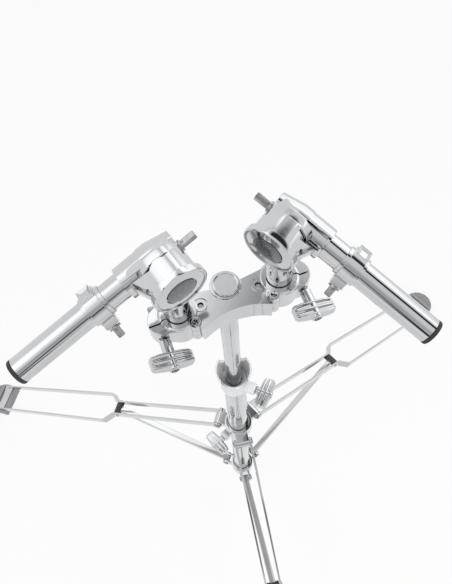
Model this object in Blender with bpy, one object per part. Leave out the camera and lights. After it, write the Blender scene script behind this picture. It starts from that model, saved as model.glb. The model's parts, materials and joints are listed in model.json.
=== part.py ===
"""Double tom stand: a tripod base, a sliding centre post and a bracket with two tilting drum arms."""

import math

import bmesh
import bpy
from mathutils import Matrix, Vector

MM = 0.001
TURN = 2 * math.pi

# Fits and facets
GAP = 0.3 * MM
PIN_PLAY = 0.3 * MM
WING_PLAY = 1.0 * MM
SIDES = 24
ROUND_SIDES = 32
NECK_STEPS = 28
WEB_STEPS = 16
LUG_STEPS = 10
SMALL_SIDES = 12
WELD = 1e-6
SMOOTH_ANGLE = math.radians(35)

# Overall places
BRACKET_TOP = 900 * MM
LEG_BEARINGS = [math.radians(22.3 + 120 * step) for step in range(3)]

# Drum arm tube
TUBE_R = 11.1 * MM
TUBE_WALL = 1.6 * MM
ARM_REACH = {"left": 139 * MM, "right": 141 * MM}
ARM_ENTRY = 24 * MM
ARM_SLOPE = {"left": math.radians(14), "right": math.radians(18)}
ARM_BEARING = {"left": math.radians(196), "right": math.radians(-57.5)}
CAP_BAND = 3.4 * MM
CAP_PLUG = 8 * MM
CAP_ROUND = 1.2 * MM

# Memory lock on the arm tube
LOCK_WALL = 3.6 * MM
LOCK_WIDTH = 12.6 * MM
LOCK_CENTRE = 58 * MM
LOCK_SLEEVE_WALL = 1.4 * MM
LOCK_SLEEVE_REACH = 3 * MM
LOCK_LUG_WIDE = 12 * MM
LOCK_LUG_INSET = 0.6 * MM
LOCK_LUG_REACH = 8.5 * MM
LOCK_BLOCK_REACH = 6.5 * MM
LOCK_RECESS = 5 * MM
LOCK_RECESS_DEEP = 1 * MM
LOCK_LEAN = math.radians(-26)
LOCK_BLOCK_TURN = math.radians(-40)

# Key bolts: round flange under a square head
KEY_SHANK_R = 2.5 * MM
KEY_FLANGE_R = 5 * MM
KEY_FLANGE_T = 2 * MM
KEY_HEAD = 5.6 * MM
KEY_HEAD_LONG = 8 * MM
STUD_HEAD_LONG = 13 * MM
KEY_SHANK_LONG = 6 * MM

# Tilting head
HEAD_RISE = 71 * MM
TUBE_DROP = 5 * MM
TUBE_OFFSET = 19 * MM
MOUTH_X = 32 * MM
STEP_X = 10 * MM
REAR_X = -9.5 * MM
REAR_WALL = 10 * MM
MOUTH_WALL = 2.8 * MM
BODY_WALL = 3.4 * MM
BODY_TAPER = 4 * MM
TAPER_LONG = 20 * MM
WINDOW_X = (11.5 * MM, 29 * MM)
WINDOW_HALF = 6.2 * MM
SLIT = 1.2 * MM
DRUM_R = 20 * MM
DRUM_T = 8 * MM
HOOD_R = 20.6 * MM
HOOD_PLAY = 0.5 * MM
STEM_ROOM_X = 13.2 * MM
STEM_ROOM_LEAN = math.radians(38)
STUD_SHIFT = 5.5 * MM
NECK_BACK = 4 * MM
NECK_T = 17 * MM
NECK_R = 17.5 * MM
NECK_DROP = 28 * MM
STEM_SINK = 4 * MM
DISC_R = 23.4 * MM
DISC_T = 6 * MM
DISC_RIM = 3 * MM
DISC_DISH = 1.4 * MM
BADGE_R = 12.6 * MM
BADGE_T = 1.6 * MM
SPINDLE_R = 5 * MM

# Bracket casting
SOCKET_X = 46.3 * MM
SOCKET_Y = -9 * MM
BRACKET_T = 25.6 * MM
SOCKET_WALL = 6.6 * MM
BOSS_R = 14 * MM
WEB_BACK = 1 * MM
WEB_FRONT = 24 * MM
WEB_FRONT_END = (31 * MM, -31.5 * MM)
EDGE_BEVEL = 1.2 * MM
POST_TAIL = 14 * MM
CAP_DISC_R = 11.8 * MM
CAP_DISC_T = 1.6 * MM
CAP_DISC_RIM = 2 * MM
CAP_DISC_DISH = 0.8 * MM
BACK_LUG = (-20 * MM, -1 * MM)
LUG_SCREW_R = 2.4 * MM
LUG_SCREW_SUNK = 2.5 * MM
LUG_GROOVE = (5.6 * MM, 6.6 * MM)
LUG_GROOVE_DEEP = 1 * MM

# Socket gate
GATE_PIN = (-10.5 * MM, -14.5 * MM)
KNUCKLE_R = 5.2 * MM
KNUCKLE_T = 7.5 * MM
PROUD = 0.5 * MM
GATE_PIN_R = 2.2 * MM
SPLIT_Y = -4 * MM
SPLIT = 1.5 * MM
EAR_REACH = 28 * MM
EAR_FRONT = -14.8 * MM
EAR_BACK = 13 * MM
EAR_LOW = 2.5 * MM

# Wing bolts and nuts
WING_BOLT_X = 18.5 * MM
WING_BOLT_R = 3 * MM
WING_HEAD = 11 * MM
WING_HEAD_T = 4.5 * MM
WING_REACH = 12 * MM
WING_HUB_R = 6 * MM
SCREW_WING_ROOT = 3.5 * MM
NUT_WING_ROOT = 11 * MM
WING_SPAN = 19 * MM
WING_DEEP = 17 * MM
WING_CROWN = 1 * MM
WING_THICK = 11 * MM
WING_GROOVES = 3
WING_GROOVE_DEEP = 1.1 * MM
WING_TIP_SCALE = 0.72
NUT_ROLL = {"left": math.radians(18), "right": math.radians(-14)}

# Centre post and height collar
POST_R = 9.525 * MM
POST_WALL = 2 * MM
POST_SEAT = 19 * MM
COLLAR_DROP = 222 * MM
COLLAR_CUP = 32 * MM
COLLAR_LONG = 16 * MM
COLLAR_LIP_R = 22 * MM
COLLAR_WAIST_R = 17.4 * MM
COLLAR_CUP_R = 19.6 * MM
COLLAR_LEDGE = 4 * MM
COLLAR_FLARE = 24 * MM
COLLAR_SEAT = 3.3 * MM
PETAL_CUT_R = 16 * MM
PETAL_BEARING = math.radians(15)
COLLAR_WING_BEARING = math.radians(-44)
POST_INSERT = 150 * MM

# Base tube, hubs and screws that lock them
BASE_R = 14.3 * MM
BASE_WALL = 1.8 * MM
BASE_TAIL = 20 * MM
BUSH_LONG = 24 * MM
HUB_WALL = 5.7 * MM
HUB_LONG = 30 * MM
HUB_WING_BEARING = (LEG_BEARINGS[1] + LEG_BEARINGS[2]) / 2
SCREW_BOSS_REACH = 11 * MM
SCREW_BOSS_HALF = 6.5 * MM
PLUG_T = 4 * MM

# Tripod linkage
PIVOT_R = 30 * MM
HUB_PIVOT_Z = 426 * MM
FOOT_R = 570 * MM
FOOT_PIVOT_Z = 14 * MM
LINK = 249 * MM
LUG_HALF = 9.6 * MM
LUG_ROUND = 7 * MM
STRIP_T = 3 * MM
STRIP_HALF = 6 * MM
JOG_START = 8 * MM
JOG_LONG = 20 * MM
LEG_HALF = 27 * MM
TIE_LONG = 24 * MM
PIN_R = 3 * MM
PIN_HEAD_R = 4.6 * MM
PIN_HEAD_T = 2 * MM
STRUT_HALF_Y = 5 * MM
STRUT_HALF_Z = 6 * MM
STRUT_BOSS_R = 4.6 * MM
FOOT_HEEL = 30 * MM
FOOT_TOE = 20 * MM
FOOT_HALF = 31 * MM
FOOT_HIGH = 25 * MM
FOOT_BEVEL = 3.5 * MM

# Derived sizes
SOCKET_BORE = TUBE_R + GAP
SOCKET_R = SOCKET_BORE + SOCKET_WALL
HUB_R = BASE_R + GAP + HUB_WALL
WING_BOLT_Z = -(BRACKET_T + EAR_LOW) / 2
LEG_SLOPE = math.atan2(HUB_PIVOT_Z - FOOT_PIVOT_Z, FOOT_R - PIVOT_R)
LEG_LONG = math.hypot(HUB_PIVOT_Z - FOOT_PIVOT_Z, FOOT_R - PIVOT_R)
STRUT_PIVOT_Z = HUB_PIVOT_Z - 2 * LINK * math.sin(LEG_SLOPE)
BASE_BOTTOM = STRUT_PIVOT_Z - BASE_TAIL
COLLAR_TOP = BRACKET_TOP - COLLAR_DROP
BASE_TOP = COLLAR_TOP - COLLAR_CUP - COLLAR_LEDGE - GAP


# Scene and materials


def clear_scene():
    for item in list(bpy.data.objects):
        bpy.data.objects.remove(item, do_unlink=True)


def finish_material(name, colour, metallic, roughness):
    material = bpy.data.materials.new(name)
    material.use_nodes = True
    shader = material.node_tree.nodes["Principled BSDF"]
    shader.inputs["Base Color"].default_value = (*colour, 1)
    shader.inputs["Metallic"].default_value = metallic
    shader.inputs["Roughness"].default_value = roughness
    return material


FINISHES = {
    "chrome": ((0.78, 0.79, 0.81), 1.0, 0.08),
    "steel": ((0.55, 0.56, 0.58), 1.0, 0.25),
    "rubber": ((0.03, 0.03, 0.032), 0.0, 0.7),
    "foot_rubber": ((0.33, 0.33, 0.34), 0.0, 0.75),
    "badge": ((0.06, 0.06, 0.07), 0.0, 0.2),
    "nylon": ((0.1, 0.1, 0.11), 0.0, 0.5),
}


# Shapes


def turned(profile, sides=SIDES, ring=False):
    """A solid of revolution about Z from (radius, height) points, closed as a ring or at the axis."""
    bm = bmesh.new()
    verts = [bm.verts.new((radius, 0, height)) for radius, height in profile]
    pairs = list(zip(verts, verts[1:]))
    if ring:
        pairs.append((verts[-1], verts[0]))
    edges = [bm.edges.new(pair) for pair in pairs]
    bmesh.ops.spin(
        bm, geom=verts + edges, cent=(0, 0, 0), axis=(0, 0, 1), angle=TURN, steps=sides, use_merge=True
    )
    bmesh.ops.remove_doubles(bm, verts=bm.verts[:], dist=WELD)
    return bm


def rod(radius, low, high, sides=SMALL_SIDES, chamfer=0.0):
    """A round bar about Z with optional chamfered ends."""
    if chamfer:
        profile = [(0, high), (radius - chamfer, high), (radius, high - chamfer)]
        profile += [(radius, low + chamfer), (radius - chamfer, low), (0, low)]
    else:
        profile = [(0, high), (radius, high), (radius, low), (0, low)]
    return turned(profile, sides)


def pipe(inner, outer, low, high, sides=SIDES):
    return turned([(inner, high), (outer, high), (outer, low), (inner, low)], sides, ring=True)


def prism(outline, low, high, bevel=0.0):
    """An outline in XY pushed from low to high, with its two rims bevelled."""
    bm = bmesh.new()
    face = bm.faces.new([bm.verts.new((x, y, low)) for x, y in outline])
    pushed = bmesh.ops.extrude_face_region(bm, geom=[face])
    top = [item for item in pushed["geom"] if isinstance(item, bmesh.types.BMVert)]
    bmesh.ops.translate(bm, verts=top, vec=(0, 0, high - low))
    if bevel:
        rims = [edge for edge in bm.edges if abs(edge.verts[0].co.z - edge.verts[1].co.z) < WELD]
        bmesh.ops.bevel(bm, geom=rims, offset=bevel, segments=1, profile=0.5, affect="EDGES", material=-1)
    bmesh.ops.recalc_face_normals(bm, faces=bm.faces[:])
    return bm


def block(low, high, bevel=0.0):
    """A box between two corners, with bevelled edges."""
    bm = bmesh.new()
    bmesh.ops.create_cube(bm, size=1)
    size = Vector(high) - Vector(low)
    middle = (Vector(high) + Vector(low)) / 2
    moved(bm, Matrix.Translation(middle) @ Matrix.Diagonal((*size, 1)))
    if bevel:
        bmesh.ops.bevel(
            bm, geom=bm.edges[:], offset=bevel, segments=1, profile=0.5, affect="EDGES", material=-1
        )
    return bm


def arc(centre, radius, start, end, steps):
    """Points along an arc, ends included."""
    angles = [start + (end - start) * step / steps for step in range(steps + 1)]
    return [(centre[0] + radius * math.cos(a), centre[1] + radius * math.sin(a)) for a in angles]


def stadium(start, end, radius):
    """The outline of a bar along X with round ends."""
    outline = arc((start, 0), radius, math.pi / 2, 3 * math.pi / 2, LUG_STEPS)
    return outline + arc((end, 0), radius, -math.pi / 2, math.pi / 2, LUG_STEPS)


def moved(bm, matrix):
    bmesh.ops.transform(bm, matrix=matrix, verts=bm.verts[:])
    return bm


def shifted(bm, x=0.0, y=0.0, z=0.0):
    return moved(bm, Matrix.Translation((x, y, z)))


def along_x(bm):
    return moved(bm, Matrix.Rotation(math.pi / 2, 4, "Y"))


def along_y(bm):
    return moved(bm, Matrix.Rotation(-math.pi / 2, 4, "X"))


def spanned(*shapes):
    """The bulging solid that just holds all the shapes."""
    bm = bmesh.new()
    for shape in shapes:
        for vert in shape.verts:
            bm.verts.new(vert.co)
        shape.free()
    found = bmesh.ops.convex_hull(bm, input=bm.verts[:])
    left = found["geom_interior"] + found["geom_unused"]
    spare = {item for item in left if isinstance(item, bmesh.types.BMVert)}
    bmesh.ops.delete(bm, geom=list(spare), context="VERTS")
    return bm


def to_mesh(name, bm):
    bmesh.ops.recalc_face_normals(bm, faces=bm.faces[:])
    mesh = bpy.data.meshes.new(name)
    bm.to_mesh(mesh)
    bm.free()
    return mesh


def combined(base, steps, solver="EXACT"):
    """The base shape after a list of (operation, shape) Booleans, worked in millimetres."""
    scene = bpy.context.scene.collection
    enlarge = Matrix.Scale(1 / MM, 4)
    target = bpy.data.objects.new("base_shape", to_mesh("base_shape", moved(base, enlarge)))
    scene.objects.link(target)
    for operation, shape in steps:
        tool = bpy.data.objects.new("tool_shape", to_mesh("tool_shape", moved(shape, enlarge)))
        scene.objects.link(tool)
        modifier = target.modifiers.new("Boolean", "BOOLEAN")
        modifier.operation = operation
        modifier.solver = solver
        modifier.object = tool
        graph = bpy.context.evaluated_depsgraph_get()
        mesh = bpy.data.meshes.new_from_object(target.evaluated_get(graph))
        target.modifiers.clear()
        target.data = mesh
        bpy.data.objects.remove(tool, do_unlink=True)
    bm = bmesh.new()
    bm.from_mesh(target.data)
    bpy.data.objects.remove(target, do_unlink=True)
    bmesh.ops.remove_doubles(bm, verts=bm.verts[:], dist=WELD / MM)
    return moved(bm, Matrix.Scale(MM, 4))


def frame_at(name, parent, matrix):
    """An empty that holds the axis of a joint or the seat of a group."""
    empty = bpy.data.objects.new(name, None)
    empty.empty_display_size = 10 * MM
    bpy.context.scene.collection.objects.link(empty)
    empty.parent = parent
    empty.matrix_local = matrix
    return empty


def piece(name, bm, finish, parent, mirror=None):
    """One named sub-part with its material, under its parent frame, mirrored where the side asks."""
    if mirror:
        moved(bm, Matrix.Scale(-1, 4, mirror))
    mesh = to_mesh(name, bm)
    mesh.shade_smooth()
    mesh.set_sharp_from_angle(angle=SMOOTH_ANGLE)
    mesh.materials.append(finish_material(name, *FINISHES[finish]))
    item = bpy.data.objects.new(name, mesh)
    bpy.context.scene.collection.objects.link(item)
    item.parent = parent
    return item


# Fasteners


def key_bolt(head_long):
    """A key bolt along Z whose flange sits on z = 0, with its shank below."""
    half = KEY_HEAD / 2
    top = KEY_FLANGE_T + head_long
    flange = rod(KEY_FLANGE_R, 0, KEY_FLANGE_T, SMALL_SIDES, KEY_FLANGE_T / 4)
    head = block((-half, -half, KEY_FLANGE_T / 2), (half, half, top), KEY_HEAD / 8)
    shank = rod(KEY_SHANK_R, -KEY_SHANK_LONG, KEY_FLANGE_T / 2)
    return combined(flange, [("UNION", head), ("UNION", shank)])


def wing_shape(base):
    """One pair of grooved wings along X on an axis of Z, starting at z = base."""
    pitch = WING_DEEP / (WING_GROOVES + 1)
    half = WING_THICK / 2
    ridge = [(0, base), (half, base + pitch / 4)]
    for groove in range(1, WING_GROOVES + 1):
        middle = base + groove * pitch
        ridge += [(half, middle - pitch / 4), (half - WING_GROOVE_DEEP, middle), (half, middle + pitch / 4)]
    ridge += [(half, base + WING_DEEP - pitch / 4), (0, base + WING_DEEP)]
    outline = ridge + [(-y, z) for y, z in reversed(ridge[1:-1])]
    bm = bmesh.new()
    face = bm.faces.new([bm.verts.new((0, y, z)) for y, z in outline])
    pushed = bmesh.ops.extrude_face_region(bm, geom=[face])
    tip = [item for item in pushed["geom"] if isinstance(item, bmesh.types.BMVert)]
    bmesh.ops.translate(bm, verts=tip, vec=(WING_SPAN, 0, 0))
    centre = Matrix.Translation((0, 0, -base - WING_DEEP / 2))
    bmesh.ops.scale(bm, verts=tip, vec=(1, WING_TIP_SCALE, WING_TIP_SCALE), space=centre)
    other = bm.copy()
    moved(other, Matrix.Rotation(math.pi, 4, "Z"))
    return bm, other


def wing_body(root, bore=None, shank=None):
    """A wing nut with a through bore, or a wing screw with a shank of (radius, length)."""
    long = root + WING_DEEP + WING_CROWN
    hub = rod(WING_HUB_R, 0, long, SMALL_SIDES, WING_HUB_R / 6)
    wing, other = wing_shape(root)
    steps = [("UNION", wing), ("UNION", other)]
    if bore:
        steps.append(("DIFFERENCE", rod(bore, -long, 2 * long)))
    if shank:
        steps.append(("UNION", rod(shank[0], -shank[1], long / 2)))
    return combined(hub, steps)


# Tilting heads and their tubes


def arm_tube(side):
    """The drum arm tube along +X from the head."""
    return along_x(pipe(TUBE_R - TUBE_WALL, TUBE_R, MOUTH_X - ARM_ENTRY, ARM_REACH[side] - CAP_BAND - GAP))


def end_cap(side):
    plug = TUBE_R - TUBE_WALL - GAP
    reach = ARM_REACH[side]
    start = reach - CAP_BAND
    profile = [(0, reach), (TUBE_R - CAP_ROUND, reach), (TUBE_R, reach - CAP_ROUND)]
    profile += [(TUBE_R, start), (plug, start), (plug, start - CAP_PLUG), (0, start - CAP_PLUG)]
    return along_x(turned(profile))


def lock_seat():
    """Turns the memory lock so that its lug faces the front and a little down."""
    return Matrix.Translation((LOCK_CENTRE, 0, 0)) @ Matrix.Rotation(LOCK_LEAN, 4, "X")


def arm_lock():
    bore = TUBE_R + GAP
    outer = bore + LOCK_WALL
    half = LOCK_WIDTH / 2
    sleeve = half + LOCK_SLEEVE_REACH
    step = bore + LOCK_SLEEVE_WALL
    profile = [(bore, sleeve), (step, sleeve), (step, half), (outer, half)]
    profile += [(outer, -half), (step, -half), (step, -sleeve), (bore, -sleeve)]
    ring = along_x(turned(profile, SIDES, ring=True))
    wide = LOCK_LUG_WIDE / 2
    half -= LOCK_LUG_INSET
    lug = block((-half, bore + LOCK_WALL / 2, -wide), (half, bore + LOCK_LUG_REACH, wide), EDGE_BEVEL)
    back = -(bore + LOCK_BLOCK_REACH)
    knob = block((-half, back, -wide), (half, -bore - LOCK_WALL / 2, wide), EDGE_BEVEL)
    side = LOCK_RECESS / 2
    recess = block((-side, back - LOCK_RECESS, -side), (side, back + LOCK_RECESS_DEEP, side))
    hole = along_y(rod(KEY_SHANK_R + PIN_PLAY, bore - LOCK_WALL, bore + 2 * LOCK_LUG_REACH))
    turn = Matrix.Rotation(LOCK_BLOCK_TURN, 4, "X")
    steps = [("UNION", lug), ("UNION", moved(knob, turn)), ("DIFFERENCE", moved(recess, turn))]
    steps.append(("DIFFERENCE", hole))
    return moved(combined(ring, steps), lock_seat())


def lock_bolt():
    seat = TUBE_R + GAP + LOCK_LUG_REACH + GAP
    return moved(shifted(along_y(key_bolt(KEY_HEAD_LONG)), y=seat), lock_seat())


def tilter_body():
    """The casting that grips the arm tube and turns on the spindle, in the tilt frame."""
    bore = TUBE_R + GAP
    mouth, body = bore + MOUTH_WALL, bore + BODY_WALL
    rear = REAR_X - REAR_WALL
    profile = [(0, MOUTH_X), (mouth, MOUTH_X), (mouth, STEP_X), (body, STEP_X)]
    profile += [(body, rear + TAPER_LONG), (body - BODY_TAPER, rear), (0, rear)]
    sleeve = shifted(along_x(turned(profile)), y=-TUBE_OFFSET, z=-TUBE_DROP)
    stud_y = STUD_SHIFT - TUBE_OFFSET
    hole = shifted(along_x(rod(KEY_SHANK_R + PIN_PLAY, 2 * rear, 0)), y=stud_y, z=-TUBE_DROP)
    face = -NECK_BACK - GAP
    drum = along_y(rod(DRUM_R, face - DRUM_T, face, SIDES, EDGE_BEVEL))
    front = NECK_T - NECK_BACK
    core = rod(TUBE_R, rear + BODY_TAPER, MOUTH_X - MOUTH_WALL, SIDES)
    core = shifted(along_x(core), y=-TUBE_OFFSET, z=-TUBE_DROP)
    shell = spanned(core, along_y(rod(HOOD_R, face, front, ROUND_SIDES)))
    neck_room = along_y(rod(NECK_R + HOOD_PLAY, face, 2 * front, ROUND_SIDES))
    far = 2 * DISC_R
    lean = (STEM_ROOM_X + far * math.sin(STEM_ROOM_LEAN), far * math.cos(STEM_ROOM_LEAN))
    below = along_y(prism([(-far, 0), (STEM_ROOM_X, 0), lean, (-far, far)], face, far))
    tube_clear = shifted(along_x(rod(bore, REAR_X, 2 * MOUTH_X, SIDES)), y=-TUBE_OFFSET, z=-TUBE_DROP)
    reach = 2 * body
    window = block((WINDOW_X[0], -WINDOW_HALF, 0), (WINDOW_X[1], WINDOW_HALF, reach))
    slit = block((2 * rear, -SLIT / 2, 0), (WINDOW_X[0] + SLIT, SLIT / 2, reach))
    seat = Matrix.Translation((0, -TUBE_OFFSET, -TUBE_DROP))
    spindle = along_y(rod(SPINDLE_R + PIN_PLAY, face - SPINDLE_R, GAP))
    shell = combined(shell, [("DIFFERENCE", neck_room), ("DIFFERENCE", below)], "MANIFOLD")
    steps = [("UNION", shell), ("UNION", drum)]
    steps += [("DIFFERENCE", tube_clear), ("DIFFERENCE", hole)]
    steps.append(("DIFFERENCE", moved(window, seat)))
    steps += [("DIFFERENCE", moved(slit, seat)), ("DIFFERENCE", spindle)]
    return combined(sleeve, steps, "MANIFOLD")


def tilter_bolt():
    seat = Matrix.Translation((REAR_X - REAR_WALL - GAP, STUD_SHIFT - TUBE_OFFSET, -TUBE_DROP))
    return moved(key_bolt(STUD_HEAD_LONG), seat @ Matrix.Rotation(-math.pi / 2, 4, "Y"))


def gyro_disc():
    """The round cover on the front of the head, dished inside a raised rim."""
    start = NECK_T - NECK_BACK + GAP
    front = start + DISC_T
    floor = front - DISC_DISH
    profile = [(0, floor), (DISC_R - DISC_RIM - DISC_DISH, floor), (DISC_R - DISC_RIM, front)]
    profile += [(DISC_R - EDGE_BEVEL, front), (DISC_R, front - EDGE_BEVEL), (DISC_R, start), (0, start)]
    return along_y(turned(profile))


def gyro_badge():
    floor = NECK_T - NECK_BACK + GAP + DISC_T - DISC_DISH + GAP
    dome = BADGE_T / 3
    crown = floor + BADGE_T
    profile = [(0, crown + dome), (BADGE_R / 2, crown + dome / 2), (BADGE_R - dome, crown)]
    profile += [(BADGE_R, crown - dome), (BADGE_R, floor), (0, floor)]
    return along_y(turned(profile))


def arm_post():
    """The upright post with the flat round neck that carries the tilting head, in the swivel frame."""
    low = -BRACKET_T - POST_TAIL
    high = HEAD_RISE - NECK_DROP
    post = rod(TUBE_R, low, high, SIDES, EDGE_BEVEL)
    stem = math.asin((TUBE_R - EDGE_BEVEL) / NECK_R)
    foot_y = NECK_DROP + STEM_SINK
    outline = arc((0, 0), NECK_R, stem - math.pi / 2, 3 * math.pi / 2 - stem, NECK_STEPS)
    outline += [(-TUBE_R + EDGE_BEVEL, -foot_y), (TUBE_R - EDGE_BEVEL, -foot_y)]
    upright = Matrix.Translation((0, 0, HEAD_RISE)) @ Matrix.Rotation(math.pi / 2, 4, "X")
    neck = moved(prism(outline, NECK_BACK - NECK_T, NECK_BACK, EDGE_BEVEL), upright)
    spindle = shifted(along_y(rod(SPINDLE_R, -NECK_BACK - SPINDLE_R, NECK_T / 2)), z=HEAD_RISE)
    return combined(post, [("UNION", neck), ("UNION", spindle)])


# Bracket, gates and clamps


def gate_wedge(inset):
    """The part of the socket that belongs to the gate, grown or shrunk by inset."""
    reach = 3 * SOCKET_R
    angle = math.atan2(GATE_PIN[1], GATE_PIN[0])
    along = Vector((math.cos(angle), math.sin(angle)))
    side = Vector((-along.y, along.x)) * inset
    start = side - along * SOCKET_BORE / 4
    end = along * reach + side
    split = SPLIT_Y - SPLIT / 2 - inset
    outline = [start[:], end[:], (reach, -reach), (reach, split), (SOCKET_BORE / 2, split)]
    return prism(outline, -2 * BRACKET_T, BRACKET_T)


def socket_shape():
    """The round socket with its clamp ears, in the socket frame with X pointing outwards."""
    edge = EDGE_BEVEL
    profile = [(0, 0), (SOCKET_R - edge, 0), (SOCKET_R, -edge), (SOCKET_R, -BRACKET_T), (0, -BRACKET_T)]
    radius, middle = (EAR_BACK - EAR_FRONT) / 2, (EAR_BACK + EAR_FRONT) / 2
    lobe = arc((EAR_REACH - radius, middle), radius, -math.pi / 2, math.pi / 2, LUG_STEPS)
    outline = [(0, EAR_FRONT), *lobe, (0, EAR_BACK)]
    ears = prism(outline, PROUD - BRACKET_T, -EAR_LOW, edge)
    return combined(turned(profile, ROUND_SIDES), [("UNION", ears)])


def socket_holes():
    through = 2 * BRACKET_T
    bore = rod(SOCKET_BORE, -through, through, ROUND_SIDES)
    pin = shifted(rod(GATE_PIN_R + PIN_PLAY, -through, through), *GATE_PIN)
    bolt = along_y(rod(WING_BOLT_R + WING_PLAY, -through, through))
    return [bore, pin, shifted(bolt, x=WING_BOLT_X, z=WING_BOLT_Z)]


def knuckle(radius, low, high):
    return shifted(rod(radius, low, high, SIDES), *GATE_PIN)


def socket_gate():
    """The hinged front half of a socket."""
    middle = knuckle(KNUCKLE_R + GAP, -BRACKET_T + KNUCKLE_T - GAP, -KNUCKLE_T + GAP)
    steps = [("INTERSECT", gate_wedge(0.0)), ("UNION", knuckle(KNUCKLE_R, -BRACKET_T - PROUD, PROUD))]
    steps += [("DIFFERENCE", middle)]
    steps += [("DIFFERENCE", hole) for hole in socket_holes()]
    return combined(socket_shape(), steps, "MANIFOLD")


def gate_pin():
    return shifted(rod(GATE_PIN_R, -BRACKET_T, -LUG_SCREW_SUNK, SMALL_SIDES, GATE_PIN_R / 5), *GATE_PIN)


def lug_screw():
    return shifted(rod(LUG_SCREW_R, -BRACKET_T, -LUG_SCREW_SUNK, SMALL_SIDES, LUG_SCREW_R / 5), *BACK_LUG)


def web_outline():
    """The crescent between the sockets, concave at the front."""
    x_end, y_end = WEB_FRONT_END
    rise = WEB_FRONT + y_end
    radius = (x_end**2 + rise**2) / (2 * abs(rise))
    half = math.asin(x_end / radius)
    centre = (0, -WEB_FRONT - radius)
    front = arc(centre, radius, math.pi / 2 + half, math.pi / 2 - half, WEB_STEPS)
    back = [(SOCKET_X, SOCKET_Y - SOCKET_R / 2), (SOCKET_X, SOCKET_Y + SOCKET_R / 2)]
    back += [(BOSS_R, WEB_BACK), (-BOSS_R, WEB_BACK)]
    back += [(-SOCKET_X, SOCKET_Y + SOCKET_R / 2), (-SOCKET_X, SOCKET_Y - SOCKET_R / 2)]
    return front + back


def bracket():
    web = prism(web_outline(), PROUD - BRACKET_T, -PROUD, EDGE_BEVEL)
    steps = [("UNION", rod(BOSS_R, -BRACKET_T - PROUD, PROUD, ROUND_SIDES, EDGE_BEVEL))]
    cuts = [("DIFFERENCE", rod(POST_R + GAP, -2 * BRACKET_T, -BRACKET_T + POST_SEAT, SIDES))]
    for side in (1, -1):
        seat = Matrix.Translation((side * SOCKET_X, SOCKET_Y, 0)) @ Matrix.Diagonal((side, 1, 1, 1))
        low, high = -BRACKET_T + KNUCKLE_T + GAP, -KNUCKLE_T - GAP
        ends = [knuckle(KNUCKLE_R + GAP, -2 * BRACKET_T, low), knuckle(KNUCKLE_R + GAP, high, BRACKET_T)]
        screw = shifted(rod(LUG_SCREW_R + PIN_PLAY, -2 * BRACKET_T, BRACKET_T), *BACK_LUG)
        groove = shifted(pipe(*LUG_GROOVE, -LUG_GROOVE_DEEP, BRACKET_T), *BACK_LUG)
        steps.append(("UNION", moved(socket_shape(), seat)))
        cuts.append(("DIFFERENCE", moved(gate_wedge(-GAP), seat)))
        cuts.append(("UNION", moved(knuckle(KNUCKLE_R, low - 2 * GAP, high + 2 * GAP), seat)))
        for shape in ends + socket_holes() + [screw, groove]:
            cuts.append(("DIFFERENCE", moved(shape, seat)))
    return combined(web, steps + cuts, "MANIFOLD")


def boss_cap():
    seat = PROUD + GAP
    top = seat + CAP_DISC_T
    floor = top - CAP_DISC_DISH
    rim = CAP_DISC_R - CAP_DISC_RIM
    profile = [(0, floor), (rim - CAP_DISC_DISH, floor), (rim, top), (CAP_DISC_R - CAP_DISC_DISH, top)]
    profile += [(CAP_DISC_R, top - CAP_DISC_DISH), (CAP_DISC_R, seat), (0, seat)]
    return turned(profile)


def wing_bolt():
    """The clamp bolt along -Y through both ears, with a square head behind."""
    height = WING_BOLT_Z
    back = EAR_BACK + GAP
    half = WING_HEAD / 2
    front = EAR_FRONT - GAP - WING_REACH
    shank = shifted(along_y(rod(WING_BOLT_R, front, back + WING_HEAD_T / 2)), x=WING_BOLT_X, z=height)
    low = (WING_BOLT_X - half, back, height - half)
    high = (WING_BOLT_X + half, back + WING_HEAD_T, height + half)
    return combined(shank, [("UNION", block(low, high, EDGE_BEVEL))])


def wing_nut(roll):
    """A clamp's wing nut in a frame on its bolt, facing -Y."""
    turn = Matrix.Rotation(math.pi / 2, 4, "X") @ Matrix.Rotation(roll, 4, "Z")
    return shifted(moved(wing_body(NUT_WING_ROOT, bore=WING_BOLT_R + WING_PLAY), turn), y=EAR_FRONT - GAP)


# Centre column


def centre_post():
    low = COLLAR_TOP - POST_INSERT
    high = BRACKET_TOP - BRACKET_T + POST_SEAT - GAP
    return pipe(POST_R - POST_WALL, POST_R, low, high)


def screw_boss(radius, height, bearing):
    """A square boss for a wing screw, and the hole through it and the wall."""
    half = SCREW_BOSS_HALF
    boss = block((radius - half / 2, -half, -half), (radius + SCREW_BOSS_REACH, half, half), EDGE_BEVEL)
    hole = along_x(rod(WING_BOLT_R + PIN_PLAY, radius / 2, 2 * radius + SCREW_BOSS_REACH))
    seat = Matrix.Rotation(bearing, 4, "Z") @ Matrix.Translation((0, 0, height))
    return moved(boss, seat), moved(hole, seat)


def lock_screw(radius):
    """A wing screw along X from the outer face of a boss, its tip just off the tube."""
    reach = radius + SCREW_BOSS_REACH - BASE_R
    screw = wing_body(SCREW_WING_ROOT, shank=(WING_BOLT_R, reach))
    return shifted(along_x(screw), x=radius + SCREW_BOSS_REACH + GAP)


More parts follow.
